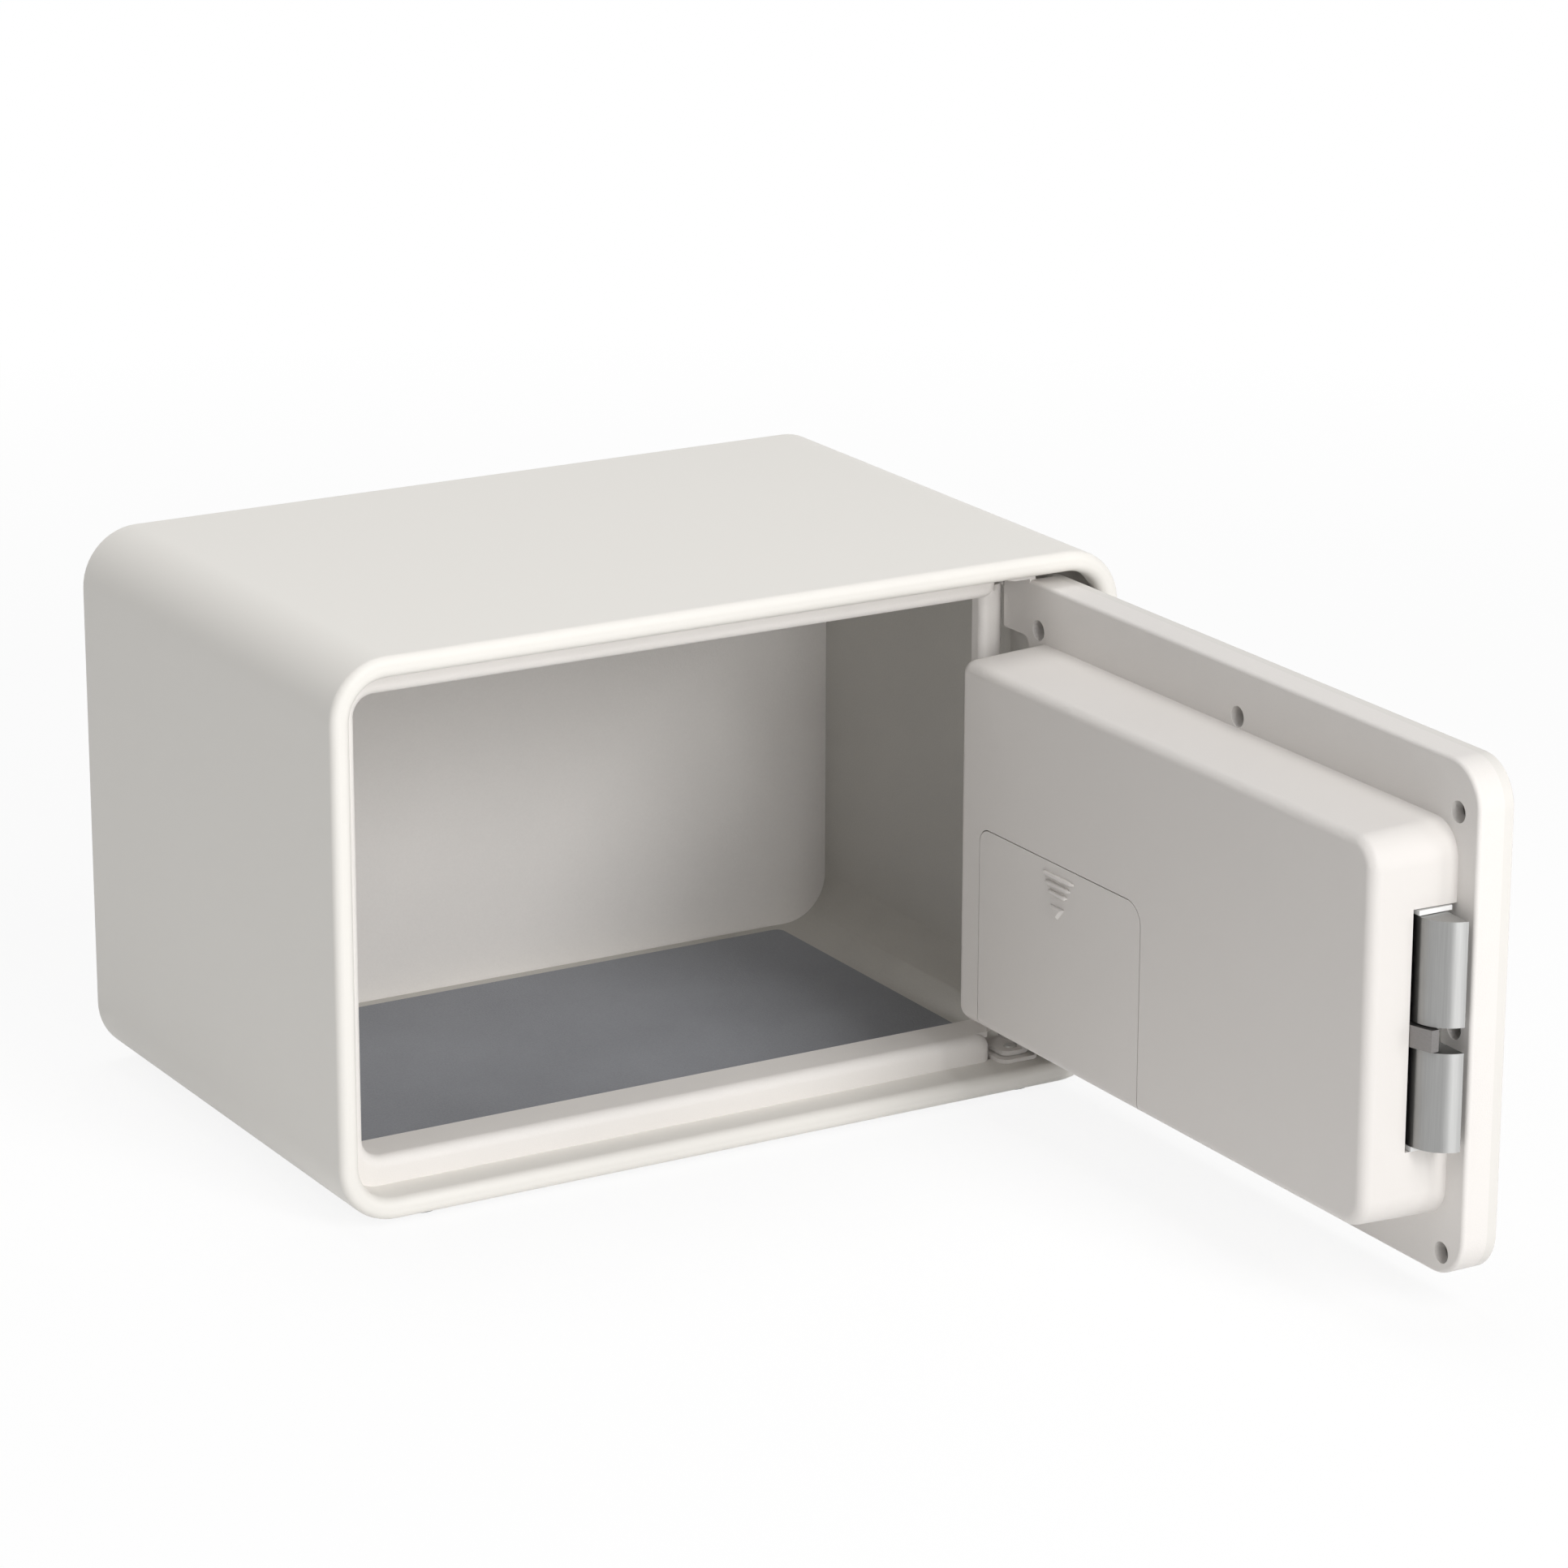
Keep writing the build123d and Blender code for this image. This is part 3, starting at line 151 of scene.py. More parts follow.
def makeCamera():
    size = viewpoint["imageSize"]
    data = bpy.data.cameras.new("camera")
    data.sensor_width = viewpoint["sensorWidth"]
    data.lens = data.sensor_width * viewpoint["focalPixels"] / size
    data.shift_x = (size / 2 - viewpoint["centreX"]) / size
    data.shift_y = (viewpoint["centreY"] - size / 2) / size
    data.clip_start = viewpoint["clipFrom"]
    data.clip_end = viewpoint["clipTo"]
    camera = newObject("camera", data)
    yaw, pitch, roll = (math.radians(viewpoint[key]) for key in ("yaw", "pitch", "roll"))
    forward = Vector((math.sin(yaw) * math.cos(pitch), math.cos(yaw) * math.cos(pitch), -math.sin(pitch)))
    right = Vector((math.cos(yaw), -math.sin(yaw), 0.0))
    up = right.cross(forward)
    tiltedRight = right * math.cos(roll) + up * math.sin(roll)
    tiltedUp = up * math.cos(roll) - right * math.sin(roll)
    turn = Matrix((tiltedRight, tiltedUp, -forward)).transposed()
    camera.matrix_world = Matrix.Translation(viewpoint["place"]) @ turn.to_4x4()
    scene.camera = camera


makeCamera()


# nodes of shaders and of geometry

def newTree(name, kind, inputs, outputs):
    tree = bpy.data.node_groups.new(name, kind)
    for label, socketKind, *value in inputs:
        socket = tree.interface.new_socket(label, in_out="INPUT", socket_type=socketKind)
        if value:
            socket.default_value = value[0]
    for label, socketKind in outputs:
        tree.interface.new_socket(label, in_out="OUTPUT", socket_type=socketKind)
    return tree, tree.nodes.new("NodeGroupInput").outputs


def fillSockets(tree, node, sockets):
    # each socket is linked to another one or set to a constant
    for socket, value in sockets.items():
        if isinstance(value, bpy.types.NodeSocket):
            tree.links.new(value, node.inputs[socket])
        else:
            node.inputs[socket].default_value = value


def addNode(tree, kind, sockets=None, **settings):
    node = tree.nodes.new(kind)
    for setting, value in settings.items():
        setattr(node, setting, value)
    fillSockets(tree, node, sockets or {})
    return node


def addMath(tree, operation, *values):
    return addNode(tree, "ShaderNodeMath", dict(enumerate(values)), operation=operation).outputs[0]


def addNoise(tree, place, scale, detail):
    noise = addNode(tree, "ShaderNodeTexNoise", {"Vector": place, "Scale": scale, "Detail": detail})
    return noise.outputs["Fac"]


# the two finishes, each a group that gives colour, roughness and bump height

finishOutputs = [
    ("Color", "NodeSocketColor"),
    ("Roughness", "NodeSocketFloat"),
    ("Height", "NodeSocketFloat"),
]
coat = {"grainDetail": 2.0, "mottleScale": 18.0, "mottleDetail": 3.0, "unevenness": 0.08, "bump": 0.2 * mm}
steel = {
    "lineDetail": 3.0,
    "lineContrast": 0.25,
    "lineDarkest": 0.87,
    "cloudScale": 60.0,
    "cloudDetail": 2.0,
    "unevenness": 0.12,
    "bump": 0.1 * mm,
}


def closeFinish(group, start, level, cloud, unevenness, height):
    # the level dims or lifts the tint, and the cloud makes the gloss uneven
    shade = addNode(group, "ShaderNodeVectorMath", {0: start["Tint"], "Scale": level}, operation="SCALE")
    rough = addMath(group, "MULTIPLY_ADD", cloud, unevenness, start["BaseRoughness"])
    addNode(group, "NodeGroupOutput", {"Color": shade.outputs[0], "Roughness": rough, "Height": height})


def makePowderCoat():
    # fine grain and a slow mottle, as sprayed paint and moulded plastic have
    inputs = [
        ("Tint", "NodeSocketColor", (0.8, 0.8, 0.8, 1)),
        ("Mottle", "NodeSocketFloat", 0.03),
        ("GrainScale", "NodeSocketFloat", 1800.0),
        ("BaseRoughness", "NodeSocketFloat", 0.5),
    ]
    group, start = newTree("powderCoat", "ShaderNodeTree", inputs, finishOutputs)
    coords = addNode(group, "ShaderNodeTexCoord").outputs["Object"]
    grain = addNoise(group, coords, start["GrainScale"], coat["grainDetail"])
    mottle = addNoise(group, coords, coat["mottleScale"], coat["mottleDetail"])
    centred = addMath(group, "SUBTRACT", addMath(group, "ADD", mottle, grain), 1.0)
    swing = addMath(group, "MULTIPLY", centred, start["Mottle"])
    level = addMath(group, "ADD", swing, 1.0)
    closeFinish(group, start, level, mottle, coat["unevenness"], grain)
    return group


def makeDrawnSteel():
    # fine lines along one direction, as rolled or brushed steel has
    inputs = [
        ("Tint", "NodeSocketColor", (0.6, 0.6, 0.6, 1)),
        ("Stretch", "NodeSocketVector", (1.0, 1.0, 0.02)),
        ("LineScale", "NodeSocketFloat", 2500.0),
        ("BaseRoughness", "NodeSocketFloat", 0.3),
    ]
    group, start = newTree("drawnSteel", "ShaderNodeTree", inputs, finishOutputs)
    coords = addNode(group, "ShaderNodeTexCoord").outputs["Object"]
    along = addNode(group, "ShaderNodeVectorMath", {0: coords, 1: start["Stretch"]}, operation="MULTIPLY")
    lines = addNoise(group, along.outputs[0], start["LineScale"], steel["lineDetail"])
    cloud = addNoise(group, coords, steel["cloudScale"], steel["cloudDetail"])
    level = addMath(group, "MULTIPLY_ADD", lines, steel["lineContrast"], steel["lineDarkest"])
    closeFinish(group, start, level, cloud, steel["unevenness"], lines)
    return group


powderCoat = makePowderCoat()
drawnSteel = makeDrawnSteel()


# materials

def startMaterial(name):
    material = bpy.data.materials.new(name)
    material.use_nodes = True
    tree = material.node_tree
    return material, tree, tree.nodes["Principled BSDF"]


def finished(name, group, look, constants, depth, distance):
    material, tree, shader = startMaterial(name)
    finish = addNode(tree, "ShaderNodeGroup", look, node_tree=group).outputs
    relief = {"Height": finish["Height"], "Strength": depth, "Distance": distance}
    bump = addNode(tree, "ShaderNodeBump", relief).outputs["Normal"]
    linked = {"Base Color": finish["Color"], "Roughness": finish["Roughness"], "Normal": bump}
    fillSockets(tree, shader, {**constants, **linked})
    return material


def coated(name, tint, roughness, grainScale=1800.0, mottle=0.03, depth=0.15, specular=0.4):
    look = {"Tint": (*tint, 1), "Mottle": mottle, "GrainScale": grainScale, "BaseRoughness": roughness}
    return finished(name, powderCoat, look, {"Specular IOR Level": specular}, depth, coat["bump"])


def drawn(name, tint, roughness, stretch=(1.0, 1.0, 0.02), lineScale=2500.0, depth=0.1):
    look = {"Tint": (*tint, 1), "Stretch": stretch, "LineScale": lineScale, "BaseRoughness": roughness}
    return finished(name, drawnSteel, look, {"Metallic": 1.0}, depth, steel["bump"])


def brushAcross(material, spread=0.85):
    # reflections draw out along the bolt, as on steel brushed round its nose
    tree = material.node_tree
    tangent = addNode(tree, "ShaderNodeTangent", direction_type="UV_MAP", uv_map="brush").outputs["Tangent"]
    fillSockets(tree, tree.nodes["Principled BSDF"], {"Tangent": tangent, "Anisotropic": spread})


outerCoat = {"roughness": 0.42, "grainScale": 1400.0, "mottle": 0.012, "depth": 0.08}
innerCoat = {"roughness": 0.6, "grainScale": 1500.0, "depth": 0.35, "specular": 0.25}
pressedCoat = {"roughness": 0.55, "grainScale": 2200.0, "mottle": 0.05, "depth": 0.3, "specular": 0.3}

cabinetPaint = coated("cabinetPaint", (0.785, 0.762, 0.72), **outerCoat)
doorPaint = coated("doorPaint", (0.69, 0.668, 0.635), **outerCoat)
# the inner coat in a darker tint than the back plate's: painted shade on the inside walls
innerPaint = coated("innerPaint", (0.63, 0.612, 0.575), mottle=0.10, **innerCoat)
backPaint = coated("backPaint", (0.88, 0.848, 0.815), mottle=0.06, **innerCoat)
framePaint = coated("framePaint", (0.80, 0.77, 0.74), **pressedCoat)
# painted shade: the pressed coat darkened against the strong lamp light on the door's end
panPaint = coated("panPaint", (0.74, 0.712, 0.685), **pressedCoat)
coverPlastic = coated("coverPlastic", (0.69, 0.661, 0.634), 0.46, grainScale=2600.0, mottle=0.02, depth=0.1)
guidePlastic = coated("guidePlastic", (0.86, 0.86, 0.85), 0.4, mottle=0.01, depth=0.05)
matFelt = coated(
    "matFelt", (0.335, 0.345, 0.372), 0.95, grainScale=1500.0, mottle=0.25, depth=0.6, specular=0.1
)
footRubber = coated("footRubber", (0.02, 0.02, 0.02), 0.8, mottle=0.2)
bezelPlastic = coated("bezelPlastic", (0.028, 0.028, 0.031), 0.42, mottle=0.08)
keyPlastic = coated("keyPlastic", (0.62, 0.61, 0.59), 0.5, mottle=0.02)
figureInk = coated("figureInk", (0.03, 0.03, 0.035), 0.5, mottle=0.1)
lampRed = coated("lampRed", (0.30, 0.02, 0.015), 0.12, mottle=0.05, depth=0.0)
siliconeGrey = coated("siliconeGrey", (0.06, 0.06, 0.065), 0.7, mottle=0.05)
boardGreen = coated("boardGreen", (0.01, 0.09, 0.03), 0.35, mottle=0.15)
cellJacket = coated("cellJacket", (0.03, 0.035, 0.045), 0.3, mottle=0.05)
cableGrey = coated("cableGrey", (0.35, 0.35, 0.35), 0.6, mottle=0.08)
boltSteel = drawn("boltSteel", (0.38, 0.38, 0.375), 0.42, depth=0.03)
brushAcross(boltSteel)
# the screws are painted dark as the shade in their holes, so the cups read as dark recesses
screwSteel = drawn("screwSteel", (0.16, 0.155, 0.15), 0.35, lineScale=900.0)
triggerSteel = drawn("triggerSteel", (0.25, 0.24, 0.235), 0.34, stretch=(1.0, 0.02, 1.0))
zincSteel = drawn("zincSteel", (0.66, 0.66, 0.64), 0.3, lineScale=900.0)
gearBrass = drawn("gearBrass", (0.72, 0.52, 0.22), 0.28, lineScale=900.0)
print("materials made:", len(bpy.data.materials))


# what each node is finished in, and which body its pieces belong to

finishOf = {
    cabinetPaint: ["body_shell"],
    doorPaint: ["door_front_panel", "keyhole_cover"],
    backPaint: ["back_plate"],
    framePaint: ["front_frame", "hinge_pillar", "upper_hinge_bracket", "lower_hinge_bracket"],
    panPaint: ["door_inner_pan"],
    zincSteel: [
        "hinge_pins", "hinge_washers", "keyhole_pivot_pin", "key_cylinder",
        "lock_chassis", "battery_contacts", "bolt_spring", "trigger_spring", "gear_motor",
    ],
    boltSteel: ["lock_bolt"],
    screwSteel: ["door_screws", "cover_screws"],
    triggerSteel: ["trigger"],
    gearBrass: ["key_plug", "plug_gear", "motor_pinion"],
    matFelt: ["floor_mat"],
    footRubber: ["rubber_feet"],
    coverPlastic: ["lock_cover", "battery_cover"],
    guidePlastic: ["bolt_guide"],
    bezelPlastic: ["keypad_bezel", "micro_switch", "battery_tray"],
    keyPlastic: keyNodes,
    lampRed: ["status_lens"],
    siliconeGrey: ["keypad_mat"],
    boardGreen: ["keypad_board", "main_circuit_board"],
    cellJacket: ["battery_cells"],
    cableGrey: ["ribbon_cable"],
}
materialOf = {node: material for material, nodes in finishOf.items() for node in nodes}
bodyOf = {node: body for body, nodes in frame["record"]["behaviour"]["bodies"].items() for node in nodes}


def belongTo(piece, node, stands=True):
    # a piece that stands for its node replaces it, and any other only rides with it
    if stands:
        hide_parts(node)
    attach(piece, bodyOf[node])


# smooth skins over the steel and moulded parts

smoothed = [
    "body_shell", "back_plate", "front_frame", "hinge_pillar", "upper_hinge_bracket", "lower_hinge_bracket",
    "floor_mat", "door_front_panel", "door_inner_pan", "lock_cover", "battery_cover", "lock_bolt",
    "trigger", "bolt_guide", "keypad_bezel", "keyhole_cover", "keyhole_pivot_pin", "key_cylinder",
    "hinge_pins", "status_lens", *keyNodes,
]


def smoothSkin(node, sharpAngle=32.0, flatAngle=0.05):
    mesh = frame["nodes"][node].data.copy()
    piece = newObject(camelName(node) + "Skin", mesh)
    work = merged(mesh)
    # flat stretches become one face each, so that they outweigh the roundings beside them
    bmesh.ops.dissolve_limit(work, angle_limit=math.radians(flatAngle), verts=work.verts, edges=work.edges)
    for face in work.faces:
        face.smooth = True
    work.to_mesh(mesh)
    work.free()
    mesh.set_sharp_from_angle(angle=math.radians(sharpAngle))
    weighted = piece.modifiers.new("flat faces stay flat", "WEIGHTED_NORMAL")
    weighted.keep_sharp = True
    setMaterial(piece, materialOf[node])
    belongTo(piece, node)
    return piece


skins = {node: smoothSkin(node) for node in smoothed}
for node, cadObject in frame["nodes"].items():
    setMaterial(cadObject, materialOf[node])
print("skins made:", len(skins))


# the inside of the steel body has the fine-grained coat, in a darker tint that paints the shade inside it

behindRim = 16.5 * mm


def coatAndShadeInside(piece):
    low, high = boxOf(piece.data)
    middle = (low + high) / 2
    piece.data.materials.append(innerPaint)
    # inward faces behind the rim get the darker coat, which is painted shade inside the body
    for face in piece.data.polygons:
        inward = (middle.x - face.center.x) * face.normal.x + (middle.z - face.center.z) * face.normal.z
        if inward > 0 and face.center.y > low.y + behindRim:
            face.material_index = 1


coatAndShadeInside(skins["body_shell"])


# the bolt's brush lines run round its nose, so U follows its height

def layBrushLines(piece, scale=10.0):
    layer = piece.data.uv_layers.new(name="brush")
    for loop, place in zip(piece.data.loops, layer.data):
        corner = piece.data.vertices[loop.vertex_index].co
        place.uv = (corner.z * scale, (corner.x - corner.y) * scale)


layBrushLines(skins["lock_bolt"])


# repeated fittings, placed by geometry nodes

def makeScatterTree():
    inputs = [
        ("Geometry", "NodeSocketGeometry"),
        ("Template", "NodeSocketObject"),
        ("Spin", "NodeSocketVector"),
        ("Seed", "NodeSocketInt"),
        ("Finish", "NodeSocketMaterial"),
    ]
    outputs = [("Geometry", "NodeSocketGeometry")]
    tree, start = newTree("scatterFittings", "GeometryNodeTree", inputs, outputs)
    template = addNode(
        tree, "GeometryNodeObjectInfo", {"Object": start["Template"]}, transform_space="ORIGINAL"
    ).outputs["Geometry"]
    # the second output of the random node is its plain number
    chance = addNode(tree, "FunctionNodeRandomValue", {"Seed": start["Seed"]}, data_type="FLOAT").outputs[1]
    turn = addNode(tree, "ShaderNodeVectorMath", {0: start["Spin"], "Scale": chance}, operation="SCALE")
    fit = addNode(tree, "GeometryNodeInputNamedAttribute", {"Name": "fit"}, data_type="FLOAT_VECTOR")
    placed = addNode(tree, "GeometryNodeInstanceOnPoints", {
        "Points": start["Geometry"],
        "Instance": template,
        "Rotation": turn.outputs[0],
        "Scale": fit.outputs["Attribute"],
    })
    real = addNode(tree, "GeometryNodeRealizeInstances", {0: placed.outputs[0]})
    painted = addNode(
        tree, "GeometryNodeSetMaterial", {"Geometry": real.outputs[0], "Material": start["Finish"]}
    )
    addNode(tree, "NodeGroupOutput", {"Geometry": painted.outputs[0]})
    return tree


scatterTree = makeScatterTree()
socketId = {item.name: item.identifier for item in scatterTree.interface.items_tree if item.in_out == "INPUT"}
fittingSharpAngle = 35.0


def scatter(name, node, template, places, spin=(0.0, 0.0, 0.0), seed=0, sizes=None, stands=True):
    points = bpy.data.meshes.new(name + "Points")
    points.from_pydata(places, [], [])
    fit = points.attributes.new("fit", "FLOAT_VECTOR", "POINT")
    for index in range(len(places)):
        fit.data[index].vector = sizes[index] if sizes else (1.0, 1.0, 1.0)
    carrier = newObject(name + "Carrier", points)
    modifier = carrier.modifiers.new("fittings", "NODES")
    modifier.node_group = scatterTree
    modifier[socketId["Template"]] = template
    modifier[socketId["Spin"]] = spin
    modifier[socketId["Seed"]] = seed
    modifier[socketId["Finish"]] = materialOf[node]
    bpy.context.view_layer.update()
    mesh = plainMesh(carrier, name)
    bpy.data.objects.remove(carrier)
    bpy.data.objects.remove(template)
    mesh.set_sharp_from_angle(angle=math.radians(fittingSharpAngle))
    belongTo(newObject(name, mesh), node, stands)


def islandBoxes(node, keep=None):
    # low and high corner of each separate solid of a node, or of each patch of the faces kept
    work = merged(frame["nodes"][node].data)
    if keep:
        bmesh.ops.delete(work, geom=[face for face in work.faces if not keep(face)], context="FACES")
    boxes, seen = [], set()
    for first in work.verts:
        if first in seen:
            continue
        seen.add(first)
        island = [first]
        for vert in island:
            for edge in vert.link_edges:
                other = edge.other_vert(vert)
                if other not in seen:
                    seen.add(other)
                    island.append(other)
        boxes.append(spanOf([vert.co for vert in island]))
    work.free()
    return boxes


# the dome's pairs are shares of domeDrop and of the head's radius, edgeInset is a share of edgeRound,
# and crossReach and crossWidth are shares of the head's radius
screw = {
    "headHeight": 2.2 * mm,
    "shankRadius": 1.7 * mm,
    "tipLength": 1.0 * mm,
    "tipRadius": 0.6 * mm,
    "domeDrop": 0.55 * mm,
    "dome": [(0.0, 0.12), (0.15, 0.5), (0.5, 0.8)],
    "edgeRound": 0.35 * mm,
    "edgeInset": 0.4,
    "crossReach": 0.62,
    "crossWidth": 0.17,
    "crossLead": 0.4 * mm,
    "crossDepth": 1.25 * mm,
    "crossTaper": 0.55,
    "turnSeed": 7,
}


def crossCutter(headRadius):
    # a tapered cross that is cut into a head whose top is at x 0
    reach, half = headRadius * screw["crossReach"], headRadius * screw["crossWidth"]
    outline = []
    for quarter in range(4):
        cosine, sine = math.cos(math.pi / 2 * quarter), math.sin(math.pi / 2 * quarter)
        for out, side in ((reach, -half), (reach, half), (half, half)):
            outline.append((out * cosine - side * sine, out * sine + side * cosine))
    ends = ((-screw["crossLead"], 1.0), (screw["crossDepth"], screw["crossTaper"]))
    return closedMesh("cross", [[(x, y * size, z * size) for y, z in outline] for x, size in ends])


def screwTemplate(length, headRadius):
    # head top at x 0 towards -X, shank towards +X
    drop, edge, height, shank = (screw[key] for key in ("domeDrop", "edgeRound", "headHeight", "shankRadius"))
    profile = [(drop * fall, headRadius * reach) for fall, reach in screw["dome"]]
    profile += [(drop, headRadius - edge * screw["edgeInset"])]
    profile += [(drop + edge, headRadius), (height, headRadius)]
    profile += [(height, shank), (length - screw["tipLength"], shank), (length, screw["tipRadius"])]
    template = newObject("screwTemplate", turned(profile, "X"))
    cutter = newObject("screwCutter", crossCutter(headRadius))
    bite = template.modifiers.new("cross", "BOOLEAN")
    bite.operation = "DIFFERENCE"
    bite.solver = "EXACT"
    bite.object = cutter
    bpy.context.view_layer.update()
    mesh = plainMesh(template, "screwTemplate")
    bpy.data.objects.remove(cutter)
    template.modifiers.clear()
    template.data = mesh
    return template


def makeDoorScrews():
    boxes = islandBoxes("door_screws")
    low, high = boxes[0]
    template = screwTemplate(high.x - low.x, (high.y - low.y) / 2)
    places = [(low.x, (low.y + high.y) / 2, (low.z + high.z) / 2) for low, high in boxes]
    scatter("doorScrewSet", "door_screws", template, places, spin=(math.pi, 0.0, 0.0), seed=screw["turnSeed"])


# edgeInset is a share of edgeRound, and the dimple, grooveFrom, grooveTo and grooveSlope of the foot's radius
foot = {
    "edgeRound": 0.5 * mm,
    "edgeInset": 0.3,
    "dimple": (0.02, 0.1, 0.16),
    "grooveDepth": 0.35 * mm,
    "grooveFrom": 0.52,
    "grooveTo": 0.64,
    "grooveSlope": 0.04,
    "segments": 56,
}


def makeFeet():
    boxes = islandBoxes("rubber_feet")
    low, high = boxes[0]
    radius, height = (high.x - low.x) / 2, high.z - low.z
    edge, groove, slope = foot["edgeRound"], foot["grooveDepth"], foot["grooveSlope"]
    centre, flat, mouth = (radius * share for share in foot["dimple"])
    profile = [(groove, centre), (groove, flat), (0.0, mouth)]
    profile += [(0.0, radius * foot["grooveFrom"]), (groove, radius * (foot["grooveFrom"] + slope))]
    profile += [(groove, radius * (foot["grooveTo"] - slope)), (0.0, radius * foot["grooveTo"])]
    inset = edge * foot["edgeInset"]
    profile += [(0.0, radius - edge), (inset, radius - inset), (edge, radius), (height, radius)]
    template = newObject("footTemplate", turned(profile, "Z", foot["segments"]))
    places = [((low.x + high.x) / 2, (low.y + high.y) / 2, low.z) for low, high in boxes]
    scatter("rubberFeetSet", "rubber_feet", template, places)


# the half profile is in shares of the rib's length and of the bead's rise and half width; a face within
# topWithin of the outermost one is the top of a rib or of the arrow, and a rib is less high than ribBelow
bead = {
    "rise": 0.9 * mm,
    "halfWidth": 0.8 * mm,
    "halfProfile": [(-0.5, 0.05), (-0.47, 0.55), (-0.42, 0.88), (-0.36, 1.0)],
    "segments": 24,
    "topWithin": 0.05 * mm,
    "ribBelow": 2.0 * mm,
    "arrowRise": 0.8 * mm,
    "arrowShare": 0.6,
}


def makeArrowCap(low, high):
    # a bevelled cap on the battery cover's arrow, which points down
    outline = [(low.y, high.z), (high.y, high.z), ((low.y + high.y) / 2, low.z)]
    midY, midZ = (sum(point[i] for point in outline) / 3 for i in (0, 1))
    share, topX = bead["arrowShare"], low.x - bead["arrowRise"]
    base = [(low.x, y, z) for y, z in outline]
    top = [(topX, midY + (y - midY) * share, midZ + (z - midZ) * share) for y, z in outline]
    piece = newObject("arrowCap", closedMesh("arrowCap", [base, top]))
    setMaterial(piece, materialOf["battery_cover"])
    belongTo(piece, "battery_cover", stands=False)


def makeGripBeads():
    # a round bead on each straight rib of the battery cover
    edge = boxOf(frame["nodes"]["battery_cover"].data)[0].x + bead["topWithin"]
    tops = islandBoxes("battery_cover", keep=lambda face: max(vert.co.x for vert in face.verts) < edge)
    ribs = [(low, high) for low, high in tops if high.z - low.z < bead["ribBelow"]]
    makeArrowCap(*max(tops, key=lambda box: box[1].z - box[0].z))
    half = bead["halfProfile"]
    profile = half + [(-along, radius) for along, radius in reversed(half)]
    mesh = turned(profile, "X", bead["segments"])
    mesh.transform(Matrix.Rotation(math.pi / 2, 4, "Z"))
    places = [(low.x, (low.y + high.y) / 2, (low.z + high.z) / 2) for low, high in ribs]
    sizes = [(bead["rise"], high.y - low.y, bead["halfWidth"]) for low, high in ribs]
    scatter("gripBeads", "battery_cover", newObject("beadTemplate", mesh), places, sizes=sizes, stands=False)


makeDoorScrews()
makeFeet()
makeGripBeads()
print("fittings placed")


# figures on the keys

figure = {"height": 6.2 * mm, "thickness": 0.12 * mm, "sunk": 0.06 * mm, "starShare": 0.72, "curveSteps": 4}
figureOf = {"key_star": "*", "key_hash": "#"}


def makeFigure(node):
    name = camelName(node) + "Figure"
    text = bpy.data.curves.new("figure", "FONT")
    text.body = figureOf.get(node, node[-1])
    text.extrude = figure["thickness"] / 2
    text.resolution_u = figure["curveSteps"]
    source = newObject("figureText", text)
    bpy.context.view_layer.update()
    mesh = plainMesh(source, name)
    bpy.data.objects.remove(source)
    low, high = boxOf(mesh)
    size = figure["height"] * (figure["starShare"] if node == "key_star" else 1.0) / (high.y - low.y)
    keyLow, keyHigh = boxOf(frame["nodes"][node].data)
    for vertex in mesh.vertices:
        across = (vertex.co.x - (low.x + high.x) / 2) * size
        up = (vertex.co.y - (low.y + high.y) / 2) * size
        out = vertex.co.z + figure["thickness"] / 2 - figure["sunk"]
        vertex.co = (keyHigh.x + out, (keyLow.y + keyHigh.y) / 2 + across, (keyLow.z + keyHigh.z) / 2 + up)
    piece = newObject(name, mesh)
    setMaterial(piece, figureInk)
    belongTo(piece, node, stands=False)


for node in keyNodes:
    makeFigure(node)
print("figures made:", len(keyNodes))


# floor, backdrop and lamps

plainWhite = (1.0, 1.0, 1.0, 1.0)
studio = {
    "floorSize": 8.0,
    "floorGap": 0.05 * mm,
    "floorRoughness": 0.9,
    "worldStrength": 0.22,
    "shadowShare": 0.12,
    "whiteFrom": 0.6,
    "whiteTo": 1.2,
}
safeMiddle = (0.0, -0.1, 0.1)
lamps = {
    "keyLamp": {"place": (0.35, -2.6, 1.5), "size": 0.9, "power": 24.0},
    "lowLamp": {"place": (-0.5, -2.9, 0.8), "size": 0.9, "power": 17.5},
    "rightLamp": {"place": (1.5, -2.2, 0.35), "aim": (0.15, -0.3, 0.1), "size": 0.6, "power": 7.0},
    "upperLeftLamp": {"place": (-1.6, -0.9, 2.0), "size": 1.2, "power": 5.0},
    "highLamp": {"place": (0.3, -1.9, 2.1), "size": 0.9, "power": 15.0},
    "topLamp": {"place": (0.0, 0.5, 2.4), "size": 1.4, "power": 18.0},
}


def makeLamp(name, place, size, power, aim=safeMiddle):
    data = bpy.data.lights.new(name, "AREA")
    data.shape = "DISK"
    data.size = size
    data.energy = power
    lamp = newObject(name, data)
    lamp.location = place
    lamp.rotation_euler = (Vector(aim) - Vector(place)).to_track_quat("-Z", "Y").to_euler()


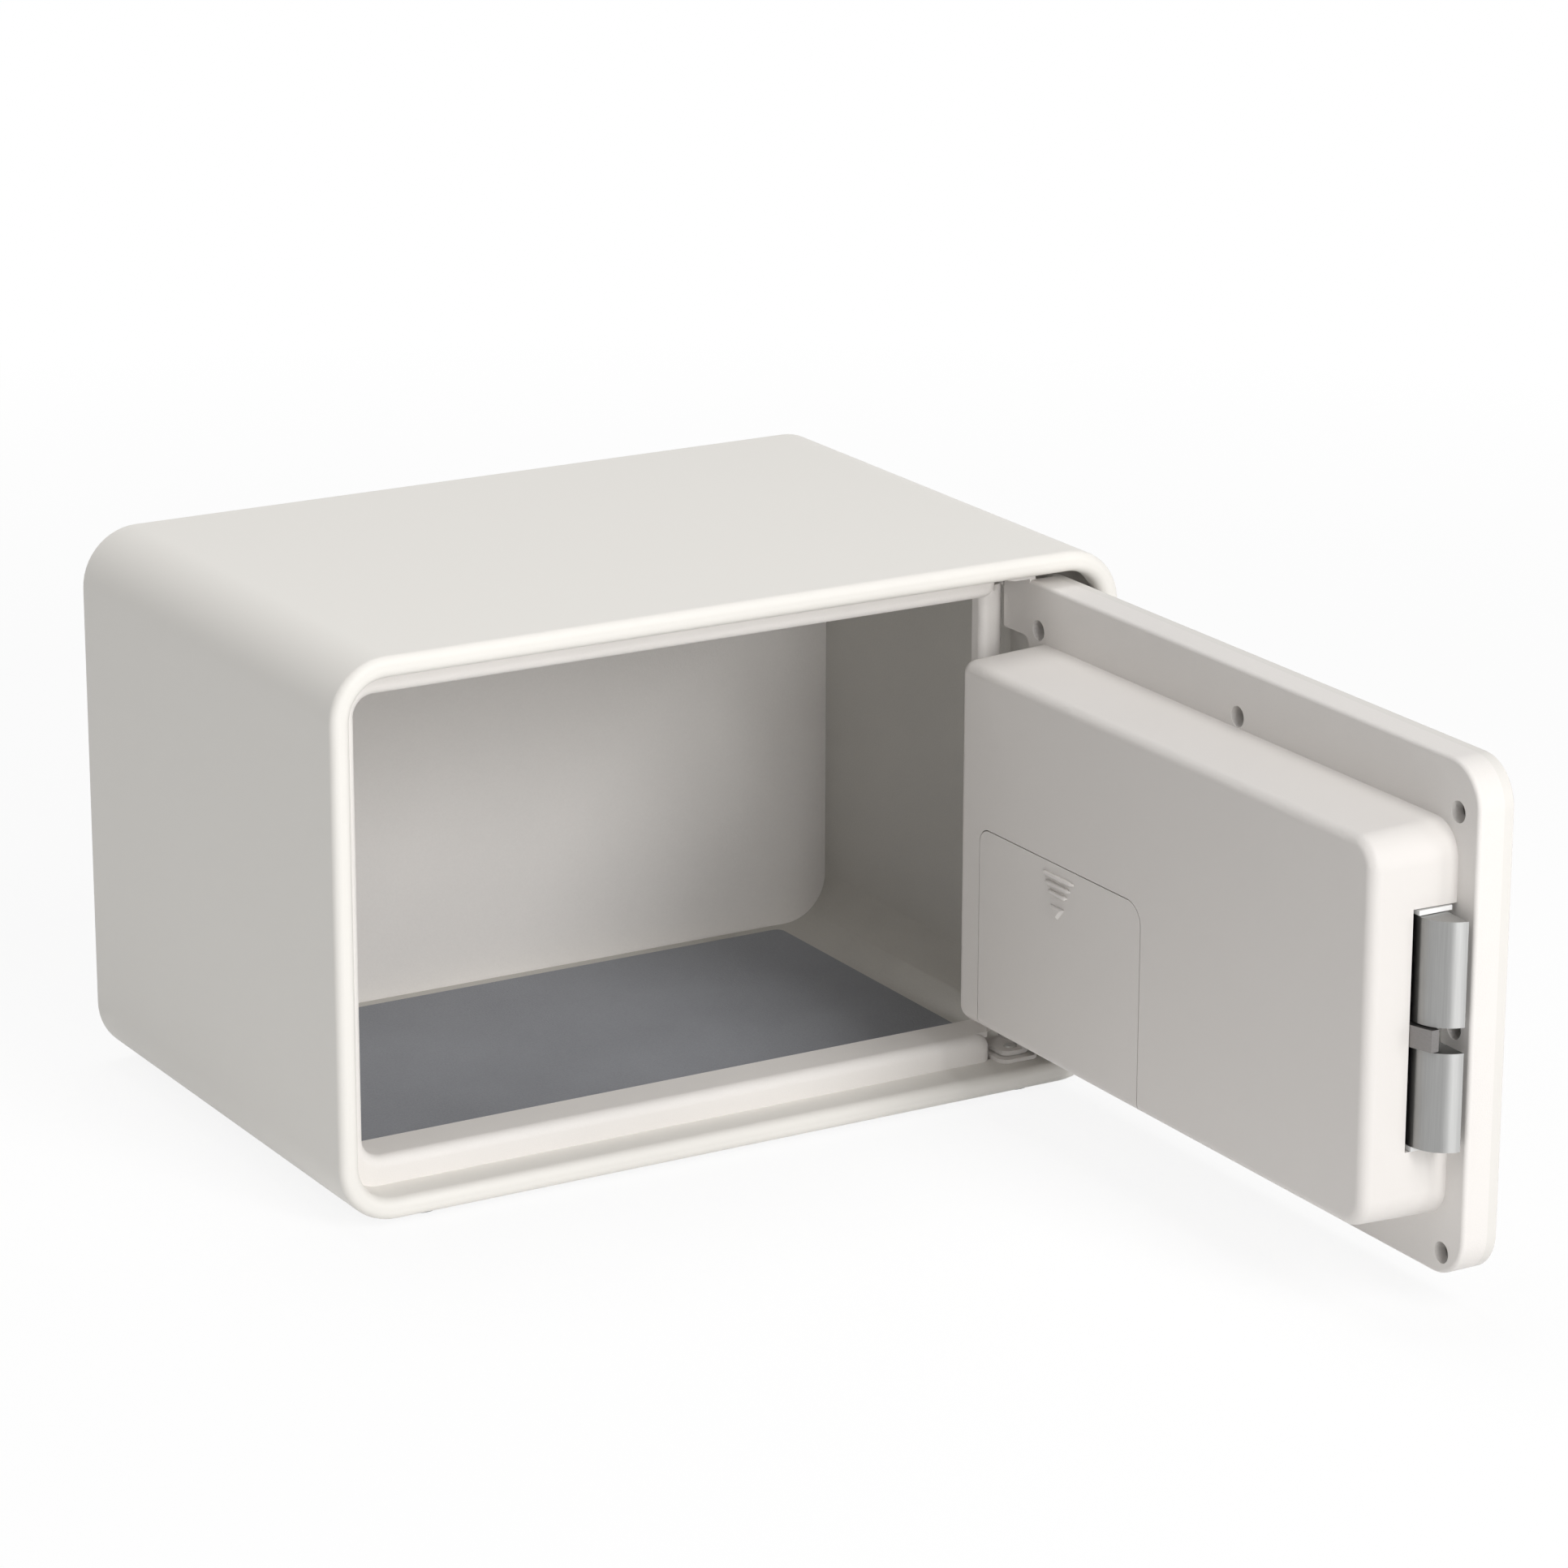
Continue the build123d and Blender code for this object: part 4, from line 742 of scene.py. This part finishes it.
def seenDirectly(tree):
    # 1 for the camera, mirrors and glass, 0 for soft light
    path = addNode(tree, "ShaderNodeLightPath").outputs
    seen = addMath(tree, "MAXIMUM", path["Is Camera Ray"], path["Is Glossy Ray"])
    return addMath(tree, "MAXIMUM", seen, path["Is Transmission Ray"])


def showWhite(tree, output, kind, share, shaded):
    # plain white where the share is 1, and the shaded surface where it is 0
    white = addNode(tree, kind, {"Color": plainWhite, "Strength": 1.0})
    shown = addNode(tree, "ShaderNodeMixShader", {"Fac": share, 1: shaded.outputs[0], 2: white.outputs[0]})
    fillSockets(tree, tree.nodes[output], {"Surface": shown.outputs[0]})


def makeWorld():
    world = bpy.data.worlds.new("world")
    scene.world = world
    world.use_nodes = True
    tree = world.node_tree
    soft = tree.nodes["Background"]
    fillSockets(tree, soft, {"Color": plainWhite, "Strength": studio["worldStrength"]})
    showWhite(tree, "World Output", "ShaderNodeBackground", seenDirectly(tree), soft)


def makeFloor():
    half = studio["floorSize"] / 2
    height = cadBox[0].z - studio["floorGap"]
    mesh = bpy.data.meshes.new("floor")
    corners = [(-half, -half, height), (half, -half, height), (half, half, height), (-half, half, height)]
    mesh.from_pydata(corners, [], [(0, 1, 2, 3)])
    floor = newObject("floor", mesh)
    material, tree, shader = startMaterial("floorWhite")
    matt = {"Base Color": plainWhite, "Roughness": studio["floorRoughness"], "Specular IOR Level": 0.0}
    fillSockets(tree, shader, matt)
    # the white that is seen keeps a share of the shadow near the object and fades to plain white
    coords = addNode(tree, "ShaderNodeTexCoord").outputs["Object"]
    reach = addNode(tree, "ShaderNodeVectorMath", {0: coords}, operation="LENGTH").outputs["Value"]
    fade = addNode(tree, "ShaderNodeMapRange", {
        "Value": reach,
        "From Min": studio["whiteFrom"],
        "From Max": studio["whiteTo"],
        "To Min": 1 - studio["shadowShare"],
        "To Max": 1.0,
    })
    share = addMath(tree, "MULTIPLY", fade.outputs[0], seenDirectly(tree))
    showWhite(tree, "Material Output", "ShaderNodeEmission", share, shader)
    setMaterial(floor, material)


makeWorld()
makeFloor()
for name, lamp in lamps.items():
    makeLamp(name, **lamp)
scene.view_settings.view_transform = "Standard"
print("studio made")
